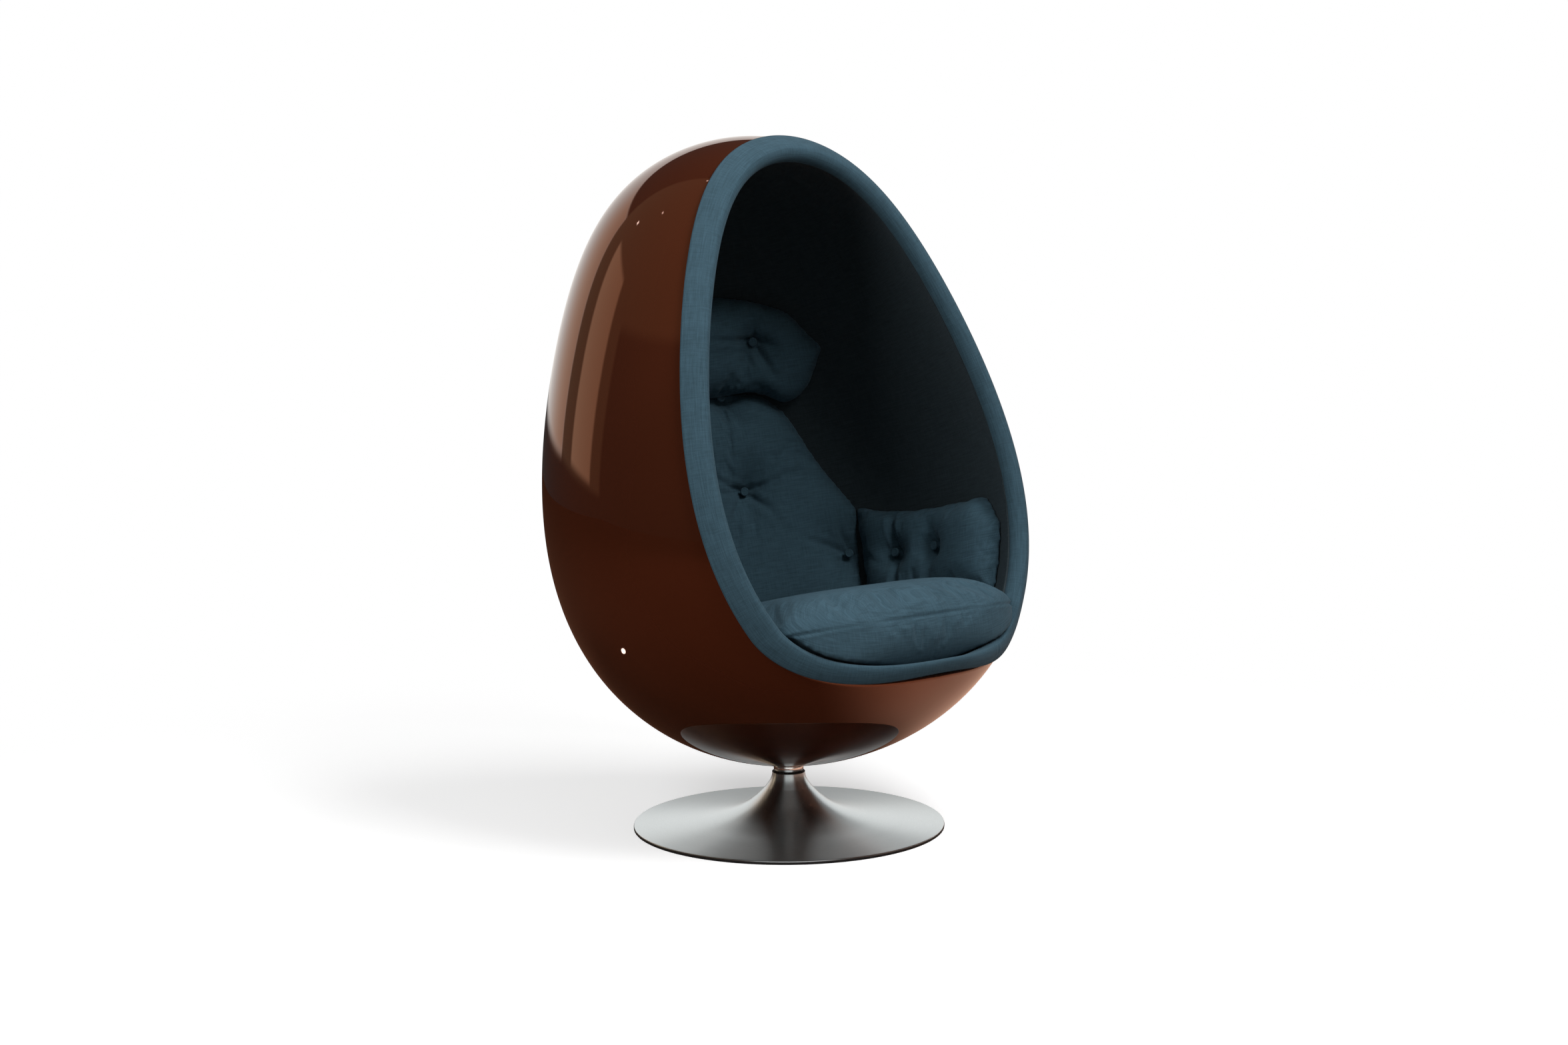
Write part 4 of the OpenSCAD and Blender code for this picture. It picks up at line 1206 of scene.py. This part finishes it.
def folds_over(shape, stops, twin):
    """Creases over a cushion from rows of stops, depth, width and fade, with their mirror images if twin."""
    found = []
    for path, *values in stops:
        line = shape.line(path)
        found.append((line, *values))
        if twin:
            found.append((mirrored(line), *values))
    return found


def back_folds(shape):
    """Creases that run from the back's buttons, the same on both sides."""
    neck, waist, low = BACK_TUFTS
    return folds_over(shape, (
        ([waist, (0.60, 0.625), (0.74, 0.65)], 0.009, 0.006, (1, 0)),
        ([waist, (0.60, 0.51), (0.70, 0.32)], 0.007, 0.007, (1, 0)),
        ([waist, (0.36, 0.67), (0.26, 0.75)], 0.009, 0.006, (1, 0.2)),
        ([waist, (0.25, 0.63), (0.0, 0.64)], 0.008, 0.007, (1, 0.5)),
        ([waist, (0.36, 0.50), (0.25, 0.42)], 0.006, 0.006, (1, 0)),
        ([neck, (0.62, 0.92), (0.65, 0.84)], 0.006, 0.006, (1, 0)),
        ([neck, (0.55, 0.90), (0.53, 0.80)], 0.005, 0.006, (1, 0)),
        ([neck, (0.74, 0.955), (0.90, 0.93)], 0.007, 0.006, (1, 0)),
        ([(0.55, 0.955), (0.80, 0.935), (0.98, 0.90)], 0.004, 0.004, (1, 0.8)),
        ([low, (0.80, 0.35), (0.66, 0.37)], 0.006, 0.006, (1, 0)),
        ([low, (0.92, 0.46), (0.95, 0.56)], 0.005, 0.006, (1, 0)),
        ([low, (0.84, 0.22), (0.78, 0.12)], 0.005, 0.006, (1, 0)),
    ), twin=True)


def head_folds(shape):
    """Creases from the head's buttons, across to the middle, up, out and down, and two at its foot."""
    button = HEAD_TUFTS[0]
    return folds_over(shape, (
        ([button, (0.42, 0.63), (0.0, 0.64)], 0.010, 0.006, (1, 0.5)),
        ([button, (0.66, 0.74), (0.66, 0.86)], 0.009, 0.006, (1, 0)),
        ([button, (0.72, 0.64), (0.84, 0.66)], 0.011, 0.009, (1, 0)),
        ([button, (0.70, 0.42), (0.76, 0.22)], 0.010, 0.007, (1, 0)),
        ([button, (0.56, 0.40), (0.46, 0.20)], 0.005, 0.007, (1, 0.3)),
        ([(0.40, 0.03), (0.46, 0.22), (0.44, 0.36)], 0.005, 0.006, (1, 0)),
        ([(0.48, 0.03), (0.60, 0.13), (0.74, 0.14)], 0.003, 0.006, (1, 0)),
    ), twin=True)


def arm_folds(shape):
    """Upright creases through the arm cushion's buttons."""
    first, second = ARM_TUFTS
    return folds_over(shape, (
        ([first, (-0.53, 0.99)], 0.017, 0.006, (1, 0.7)),
        ([first, (-0.52, 0.02)], 0.015, 0.007, (1, 0.7)),
        ([first, (-0.51, 0.52)], 0.014, 0.019, (1, 1)),
        ([second, (0.05, 0.52)], 0.014, 0.019, (1, 1)),
        ([second, (0.06, 0.93)], 0.010, 0.009, (1, 0)),
        ([second, (0.0, 0.06)], 0.011, 0.009, (1, 0.3)),
        ([second, (0.18, 0.68), (0.28, 0.84)], 0.007, 0.007, (1, 0)),
        ([first, (-0.40, 0.80), (-0.32, 0.93)], 0.006, 0.006, (1, 0)),
    ), twin=False)


# The seat's seam: stops round it, height and half angle within which its edge is read, depth and width
SEAT_SEAM_STOPS = 181
SEAT_SEAM_BAND = 0.0035
SEAT_SEAM_SECTOR = 0.03
SEAT_SEAM_DEPTH, SEAT_SEAM_WIDTH = 0.0042, 0.0024


def seat_folds(mesh):
    """The seat's edge seam: a fine valley all the way round at the height of the seam, whose path keeps to
    the outermost point of the mesh at every turn."""
    seam = cushion_sizes().seat_seam
    p = points_of(mesh)
    flat = np.linalg.norm(p[:, :2], axis=1)
    around = np.arctan2(p[:, 1], p[:, 0])
    near = np.abs(p[:, 2] + seam) < SEAT_SEAM_BAND
    turn = np.linspace(0, TURN, SEAT_SEAM_STOPS)
    reach = [flat[near & (np.abs(np.angle(np.exp(1j * (around - a)))) < SEAT_SEAM_SECTOR)].max(initial=0)
             for a in turn]
    path = np.stack([reach * np.cos(turn), reach * np.sin(turn), np.full(len(turn), -seam)], -1)
    return [(path, SEAT_SEAM_DEPTH, SEAT_SEAM_WIDTH, (1, 1))]


# Share of a cushion's width or height over which its skin's direction is taken, and a button's stand-off
NORMAL_SHARE = 0.03
BUTTON_OFF = 0.0012
# A button's foot above its place, the height of its dome and the points round it
BUTTON_FOOT = 0.0105
BUTTON_DOME = 0.0052
BUTTON_SIDES = 48
# The pleats round its edge: how many, how deep as a share of the radius, and up to which share of the dome
PLEATS = 9
PLEAT_SHARE = 0.018
PLEAT_TOP_SHARE = 0.7
# Profile of a button as shares of its half width, then of its dome's height above its foot
BUTTON_SHARES = (
    (0.0, 0.86), (0.30, 0.86), (0.52, 0.84), (0.60, 0.82), (0.66, 0.90), (0.76, 0.93), (0.87, 0.82),
    (0.96, 0.56), (1.0, 0.28), (0.97, 0.14), (0.86, 0.02), (0.66, -0.12), (0.4, -0.5), (0.24, -1.2),
    (0.0, -1.2))


class POD_OT_buttons(PodOperator, bpy.types.Operator):
    """Covered buttons, each a cloth dome gathered under its edge"""
    bl_idname = "pod.buttons"
    bl_label = "Buttons"

    def execute(self, context):
        f = context.scene.pod_finishes
        material = cloth_material("button_cloth", np.array(f.cloth) * f.button_share)
        for node, shape, twin in (
                ("back_buttons", back_shape(), False), ("head_buttons", head_shape(), False),
                ("arm_buttons", arm_shape(), True)):
            places = [button_place(shape, *t) for t in shape.tufts]
            if twin:
                places += [(mirrored(p), mirrored(n)) for p, n in places]
            button_group(node, places, material)
        return {"FINISHED"}


def button_place(shape, u, v):
    """Foot and direction of a button: square to the cushion's skin around its tuft."""
    across = shape.surface(u + NORMAL_SHARE, v) - shape.surface(u - NORMAL_SHARE, v)
    up = shape.surface(u, v + NORMAL_SHARE) - shape.surface(u, v - NORMAL_SHARE)
    out = unit(np.cross(across, up))
    return shape.surface(u, v) + out * BUTTON_OFF, out


def button_group(node, places, material):
    """All buttons of one cushion as one piece: the dome's profile turned round each place's direction,
    with a shallow pleat pressed round its edge."""
    share, level = np.array(BUTTON_SHARES).T
    rows, sides = len(share) - 2, BUTTON_SIDES
    a = np.arange(sides) * TURN / sides
    pleat = 1 + PLEAT_SHARE * np.cos(PLEATS * a)[None, :] * (level[1:-1] < PLEAT_TOP_SHARE)[:, None]
    r = share[1:-1, None] * cushion_sizes().button / 2 * pleat
    h = BUTTON_FOOT + level * BUTTON_DOME
    here = np.arange(sides)
    after = (here + 1) % sides
    row = np.arange(rows - 1)[:, None] * sides
    quads = np.stack([row + here, row + after, row + sides + after, row + sides + here], -1).reshape(-1, 4)
    tip, last = np.full(sides, rows * sides), (rows - 1) * sides
    fans = np.concatenate([
        np.stack([tip, after, here], -1), np.stack([tip + 1, last + here, last + after], -1)])
    points, faces, uvs = [], [], []
    for place, out in places:
        start = sum(len(p) for p in points)
        faces += (quads + start).tolist() + (fans + start).tolist()
        side = unit(np.cross(out, [0.0, 0.0, 1.0]))
        up = np.cross(side, out)
        spoke = np.cos(a)[:, None] * side + np.sin(a)[:, None] * up
        ring = place + r[..., None] * spoke + h[1:-1, None, None] * out
        points.append(np.concatenate([ring.reshape(-1, 3), place + h[[0, -1], None] * out]))
        uvs.append(np.stack([(points[-1] - place) @ side, (points[-1] - place) @ up], -1))
    mesh = mesh_of(node + "_domes", to_frame(np.concatenate(points)), faces)
    put_uv(mesh, np.concatenate(uvs))
    finish_piece(add_object(node + "_domes", mesh), POD_BODY, "button_cloth", material, node)


# Base of the chair

# The trumpet's side as shares of its run inwards from the edge to the neck, and of its height
TRUMPET_SHARES = ((0, 1), (0.004, 0.935), (0.012, 0.87), (0.024, 0.81), (0.038, 0.755), (0.0535, 0.7),
                  (0.089, 0.6), (0.129, 0.5), (0.184, 0.386), (0.26, 0.277), (0.36, 0.185), (0.5, 0.108),
                  (0.675, 0.06), (0.835, 0.027), (1, 0))
# Points on each stretch of the trumpet's side and on its hem, and on every rounded corner of the rings
SIDE_STEPS = 8
CORNER_STEPS = 5


class POD_OT_base(PodOperator, bpy.types.Operator):
    """Spun steel trumpet with its rubber edge ring and neck gasket"""
    bl_idname = "pod.base"
    bl_label = "Base"

    def execute(self, context):
        sheet, hem, edge_flat = 0.002, 0.0012, 0.006
        neck_step, neck_flat, sliver = 0.0005, 0.001, 0.0001
        ring_round, gasket_round = 0.0007, 0.0004
        base_r, neck_r = trumpet_high.x, gasket_high.x - neck_step
        ring_h, top = ring_high.z, trumpet_high.z
        rim_top = ring_h + sheet
        run, rise = np.array(TRUMPET_SHARES, float).T
        t = np.linspace(0, 1, len(run) * SIDE_STEPS)
        r = neck_r + (base_r - hem - neck_r) * np.clip(along(run, t), 0, 1)
        z = rim_top + (top - rim_top) * np.clip(along(rise, t), 0, 1)
        a = np.linspace(math.pi / 2, 0, SIDE_STEPS)
        hem_curve = np.stack([base_r - hem + hem * np.cos(a), rim_top - hem + hem * np.sin(a)], -1)[1:]
        outer = np.concatenate([np.stack([r, z], -1), hem_curve])
        side = np.gradient(outer, axis=0)
        inner = outer + sheet * unit(np.stack([side[:, 1], -side[:, 0]], -1))
        inner = inner[(inner[:, 1] > ring_h + sliver) & (inner[:, 0] < base_r - edge_flat)][::-1]
        hole = float(packed_radii("neck_gasket").min())
        trumpet = lathe("trumpet_surface", np.concatenate([
            outer, [[base_r, ring_h], [base_r - edge_flat, ring_h]], inner,
            [[neck_r - sheet, top - sheet], [hole, top - sheet], [hole, top], [neck_r - neck_flat, top]]]))
        finish_piece(trumpet, BASE_BODY, "brushed_steel", steel_material(), "base_trumpet")
        rubber = plain_material("edge_rubber", context.scene.pod_finishes.rubber, 0.7, grain=1200.0)
        inside = base_r - edge_flat
        ring = lathe("edge_ring_surface", rounded([
            (ring_high.x, 0.0), (ring_high.x, ring_h), (inside, ring_h), (inside, 0.0)], ring_round))
        finish_piece(ring, BASE_BODY, "edge_rubber", rubber, "base_edge_ring")
        gasket = lathe("neck_gasket_surface", rounded([
            (gasket_high.x, gasket_low.z), (gasket_high.x, gasket_high.z), (hole, gasket_high.z),
            (hole, gasket_low.z)], gasket_round))
        finish_piece(gasket, BASE_BODY, "edge_rubber", rubber, "neck_gasket")
        return {"FINISHED"}


def rounded(corners, radius):
    """A closed profile with every corner replaced by a parabola from one of its sides to the other."""
    p = np.array(corners, float)
    a, b = (p + unit(np.roll(p, way, 0) - p) * radius for way in (1, -1))
    t = np.linspace(0, 1, CORNER_STEPS)[:, None]
    return ((1 - t) ** 2 * a[:, None] + 2 * t * (1 - t) * p[:, None] + t ** 2 * b[:, None]).reshape(-1, 2)


class POD_OT_collar(PodOperator, bpy.types.Operator):
    """Polished collar between the base and the shell, its top edge following the shell's underside"""
    bl_idname = "pod.collar"
    bl_label = "Collar"

    def execute(self, context):
        hole, step, ease, gap = 0.0125, 0.009, 0.0006, 0.0003
        r, bottom = float(packed_radii("stem_collar").max()), gasket_high.z + gap
        low = rings([hole, hole + step, hole + step, r - ease, r],
                    [collar_low.z, collar_low.z, bottom, bottom, bottom + ease])
        top = rings([r, hole], [0, 0])
        top[..., 2] = underside(top[..., 0], top[..., 1]) + gap
        obj = skin("collar_surface", np.concatenate([low, top]), wrap_rows=True)
        face_away(obj)
        finish_piece(obj, POD_BODY, "polished_steel", polish_material(), "stem_collar")
        return {"FINISHED"}


# How far below the shell's foot the search for its underside starts
UNDER_START = 0.01


def underside(x, y):
    """Height of the shell's underside above a place on the floor, found by halving."""
    def below(z):
        p = to_egg(np.stack([x, y, z], -1))
        return np.hypot(p[..., 0], p[..., 1]) >= egg_radius(p[..., 2])

    return halved(np.full(x.shape, pod_foot() - UNDER_START), np.full(x.shape, pod_height()), below)


# Finishes of the parts inside: colour, roughness, and where they differ from a plain grain
INNER_FINISHES = {
    "fastener_steel": dict(base=(0.45, 0.45, 0.44), rough=0.32, metal=1.0),
    "base_iron": dict(base=(0.02, 0.02, 0.022), rough=0.45, depth=0.0003),
    "bush_bronze": dict(base=(0.45, 0.25, 0.08), rough=0.38, metal=1.0),
    "plywood": dict(base=(0.52, 0.34, 0.16), rough=0.6, grain=90.0, stretch=(0.15, 1.0, 3.0)),
    "lining_foam": dict(base=(0.66, 0.58, 0.38), rough=0.95, grain=1500.0, depth=0.0006),
}


class POD_OT_inner_parts(PodOperator, bpy.types.Operator):
    """Finishes of the bearing, spindle, plates, fasteners, deck and foam"""
    bl_idname = "pod.inner_parts"
    bl_label = "Inner parts"

    def execute(self, context):
        finishes = {name: plain_material(name, **values) for name, values in INNER_FINISHES.items()}
        finishes["polished_steel"] = polish_material()
        slots = {row["node"]: row["material_slot"] for row in frame["record"]["subparts"]}
        for name, obj in frame["nodes"].items():
            material = finishes.get(slots.get(name))
            if material is not None and not obj.hide_render:
                obj.data.materials.clear()
                obj.data.materials.append(material)
        return {"FINISHED"}


class POD_OT_stage(PodOperator, bpy.types.Operator):
    """Pale floor, soft lamps and the camera at the photographed angle"""
    bl_idname = "pod.stage"
    bl_label = "Stage"

    def execute(self, context):
        stage_camera()
        stage_floor()
        stage_lamps()
        stage_spot()
        stage_world()
        context.scene.view_settings.view_transform = "Standard"
        return {"FINISHED"}


def stage_camera():
    """Camera turned to its heading, then down by its pitch, then about its own line of sight."""
    s = bpy.context.scene.pod_stage
    cam = bpy.data.cameras.new("camera")
    cam.sensor_width, cam.lens = 36.0, s.lens
    cam.dof.use_dof = False
    obj = placed("camera", cam)
    sight = Vector((-math.sin(s.heading) * math.cos(s.pitch), math.cos(s.heading) * math.cos(s.pitch),
                    -math.sin(s.pitch)))
    right = Vector((math.cos(s.heading), math.sin(s.heading), 0.0))
    up = right.cross(sight)
    c, n = math.cos(s.roll), math.sin(s.roll)
    right, up = right * c + up * n, up * c - right * n
    turn = Matrix((right, up, -sight)).transposed().to_4x4()
    obj.matrix_world = Matrix.Translation(s.eye) @ turn
    bpy.context.scene.camera = obj


def stage_plate(name, points):
    """A flat plate of the stage through its outline's points, and the empty nodes of its material."""
    obj = placed(name, mesh_of(name, points, [tuple(range(len(points)))]))
    material = bpy.data.materials.new(name)
    material.use_nodes = True
    obj.data.materials.append(material)
    return obj, Nodes(material.node_tree)


# Half width of the floor, and the distances to the right over which the floor's painted reflection turns from
# the painted shade near the chair to the painted light
FLOOR_HALF = 9.0
LIT_FROM, LIT_TO = 0.1, 0.48
RIGHT = (math.sqrt(0.5), -math.sqrt(0.5), 0.0)


def stage_floor():
    """A wide floor. Where it is seen, its own light makes up what its shade lacks of white, so the shadow
    stays, and away from the chair it turns plain white. In mirrors it takes painted colours: a painted dark
    brown shade round the chair and a painted warm light to its right."""
    s = bpy.context.scene.pod_stage
    obj, m = stage_plate("floor", [(x * FLOOR_HALF, y * FLOOR_HALF, 0)
                                   for x, y in ((-1, -1), (1, -1), (1, 1), (-1, 1))])
    path, place = m.add("ShaderNodeLightPath").outputs, m.place()
    reach = m.add("ShaderNodeVectorMath", place, operation="LENGTH").outputs["Value"]
    aside = m.add("ShaderNodeVectorMath", place, operation="DOT_PRODUCT")
    aside.inputs[1].default_value = RIGHT
    # Painted reflection on the lacquer and steel: painted shade near the chair turning to painted warm light on
    # its right
    painted_floor_reflection = m.mix(m.step_up(aside.outputs["Value"], LIT_FROM, LIT_TO), s.painted_floor_shade, s.painted_floor_light)
    bounced = m.mix(path["Is Camera Ray"], (s.bounce,) * 3, s.floor)
    matt = m.add("ShaderNodeBsdfDiffuse", m.mix(path["Is Glossy Ray"], bounced, painted_floor_reflection))
    seen = m.seen(path)
    glow = m.add("ShaderNodeEmission", WHITE, m.math("MULTIPLY", seen, s.floor_lift))
    both = m.add("ShaderNodeAddShader", matt.outputs[0], glow.outputs[0])
    white = m.add("ShaderNodeEmission", WHITE)
    faded = m.math("MULTIPLY", m.step_up(reach, s.fade_from, s.fade_to), seen)
    whole = m.add("ShaderNodeMixShader", faded, both.outputs[0], white.outputs[0])
    m.add("ShaderNodeOutputMaterial", whole.outputs[0])


# Soft square lamps: azimuth from the front towards the sitter's left and elevation in degrees, distance from
# the point that they all face, side, power. One stands beside the opening, whose near edge shades the depth
# of the bowl, one in front of it, and one high on the other side, whose shadow falls beside the base.
LAMPS = {"side": (-80, 33, 3.4, 1.3, 57), "front": (2, 45, 3.6, 1.2, 64), "top": (42, 60, 3.6, 1.6, 62)}
LAMP_TARGET = (0, 0, 0.62)


def stage_lamps():
    """The soft lamps, which are seen neither by the camera nor in mirrors."""
    for name, (azimuth, elevation, distance, side, power) in LAMPS.items():
        light = bpy.data.lights.new(name, "AREA")
        light.shape = "RECTANGLE"
        light.size = light.size_y = side
        light.energy = power
        obj = placed(name, light)
        a, e = math.radians(azimuth), math.radians(elevation)
        away = Vector((math.sin(a) * math.cos(e), -math.cos(a) * math.cos(e), math.sin(e)))
        turn = away.to_track_quat("Z", "Y").to_matrix().to_4x4()
        obj.matrix_world = Matrix.Translation(Vector(LAMP_TARGET) + away * distance) @ turn
        obj.visible_camera = obj.visible_glossy = False


SPOT_SIDES = 24


def stage_spot():
    """A small lamp lying by the chair, seen only as a bright spot low on the lacquer."""
    s = bpy.context.scene.pod_stage
    a = np.arange(SPOT_SIDES) * TURN / SPOT_SIDES
    ring = np.stack([s.spot_size * np.cos(a), s.spot_size * np.sin(a), 0 * a], -1) + np.array(s.spot)
    obj, m = stage_plate("spot", ring)
    glow = m.add("ShaderNodeEmission", WHITE, s.spot_light)
    m.add("ShaderNodeOutputMaterial", glow.outputs[0])
    obj.visible_camera = obj.visible_diffuse = obj.visible_shadow = obj.visible_transmission = False


# What the lacquer and the steel mirror, laid over each other in this order: azimuths, elevations, softness of
# the first azimuth, softness of the other edges, rise of the elevations for each degree of azimuth, colour
PANES = (
    ((189, 222), (2, 95), 1.0, 1.0, 0.0, (0.20, 0.16, 0.11)),
    ((221, 262), (42, 95), 1.0, 1.5, 0.35, (0.20, 0.16, 0.11)),
    ((85, 189), (2.1, 33), 1.2, 0.7, 0.087, (1.05, 1.02, 0.98)),
    ((174, 189), (2.1, 33), 12.0, 1.2, 0.087, (1.05, 0.76, 0.58)),
    ((199, 215), (3, 32), 0.9, 0.9, 0.0, (1.0, 0.74, 0.52)),
    ((292, 350), (0, 44), 8.0, 8.0, 0.0, (1.5, 1.5, 1.44)),
    ((201.2, 202.4), (39.3, 40.1), 0.3, 0.3, 0.0, (9.0, 9.0, 9.0)),
    ((211.7, 213.0), (50.8, 51.4), 0.3, 0.3, 0.0, (6.0, 6.0, 6.0)),
    ((192.2, 194.2), (68.7, 69.3), 0.3, 0.3, 0.0, (6.0, 6.0, 6.0)),
)


def stage_world():
    """Even room light. It is white where it is seen, and in mirrors it is a dark room with bright panes:
    each pane is a smooth step up and down again in azimuth, times the same in elevation."""
    s = bpy.context.scene.pod_stage
    world = bpy.data.worlds.new("room")
    bpy.context.scene.world = world
    world.use_nodes = True
    m = Nodes(world.node_tree)
    path = m.add("ShaderNodeLightPath").outputs
    direction = m.add("ShaderNodeTexCoord").outputs["Generated"]
    x, y, z = m.add("ShaderNodeSeparateXYZ", direction).outputs[0:3]
    # Turn from behind the chair, so that no pane crosses the jump from one half turn to the other
    turn = m.math("ARCTAN2", m.math("MULTIPLY", x, -1.0), y)
    level = m.math("ARCTAN2", z, m.far(x, y))

    def between(value, low, high, soft_low, soft_high):
        rise = m.step_up(value, math.radians(low - soft_low), math.radians(low + soft_low))
        fall = m.step_up(value, math.radians(high - soft_high), math.radians(high + soft_high))
        return m.math("MULTIPLY", rise, m.math("SUBTRACT", 1.0, fall))

    mirrored_room = (s.room,) * 3
    for turns, levels, soft_first, soft, rise, tone in PANES:
        low, high = turns[0] - 180, turns[1] - 180
        lifted = m.math("MULTIPLY", m.math("SUBTRACT", turn, math.radians(high)), rise)
        height = between(m.math("SUBTRACT", level, lifted), *levels, soft, soft)
        pane = m.math("MULTIPLY", between(turn, low, high, soft_first, soft), height)
        mirrored_room = m.mix(pane, mirrored_room, tone)
    light = m.mix(path["Is Glossy Ray"], (s.ambient,) * 3, mirrored_room)
    back = m.add("ShaderNodeBackground", m.mix(m.seen(path), light, WHITE), 1.0)
    m.add("ShaderNodeOutputWorld", back.outputs[0])


class POD_PT_panel(bpy.types.Panel):
    """Sizes, finishes and building steps of the pod chair"""
    bl_idname = "POD_PT_panel"
    bl_label = "Pod chair"
    bl_space_type = "VIEW_3D"
    bl_region_type = "UI"
    bl_category = "Pod chair"

    def draw(self, context):
        layout = self.layout
        for name in GROUPS:
            group = getattr(context.scene, name)
            box = layout.box()
            for key in group.bl_rna.properties.keys():
                if key not in ("rna_type", "name"):
                    box.prop(group, key)
        for step in STEPS:
            layout.operator(step.bl_idname)


GROUPS = {"pod_shell": PodShellSizes, "pod_roll": PodRollSizes, "pod_cushions": PodCushionSizes,
          "pod_finishes": PodFinishes, "pod_stage": PodStage}
STEPS = (POD_OT_stage, POD_OT_base, POD_OT_collar, POD_OT_shell, POD_OT_lining, POD_OT_roll, POD_OT_cushions,
         POD_OT_buttons, POD_OT_inner_parts)


def register():
    for name, group in GROUPS.items():
        bpy.utils.register_class(group)
        setattr(bpy.types.Scene, name, bpy.props.PointerProperty(type=group))
    for step in (*STEPS, POD_PT_panel):
        bpy.utils.register_class(step)


def unregister():
    for step in (POD_PT_panel, *reversed(STEPS)):
        bpy.utils.unregister_class(step)
    for name, group in GROUPS.items():
        delattr(bpy.types.Scene, name)
        bpy.utils.unregister_class(group)


def main():
    register()
    bpy.ops.pod.stage()
    bpy.ops.pod.base()
    bpy.ops.pod.collar()
    bpy.ops.pod.shell()
    bpy.ops.pod.lining()
    bpy.ops.pod.roll()
    bpy.ops.pod.cushions()
    bpy.ops.pod.buttons()
    bpy.ops.pod.inner_parts()


if __name__ == "__main__":
    main()
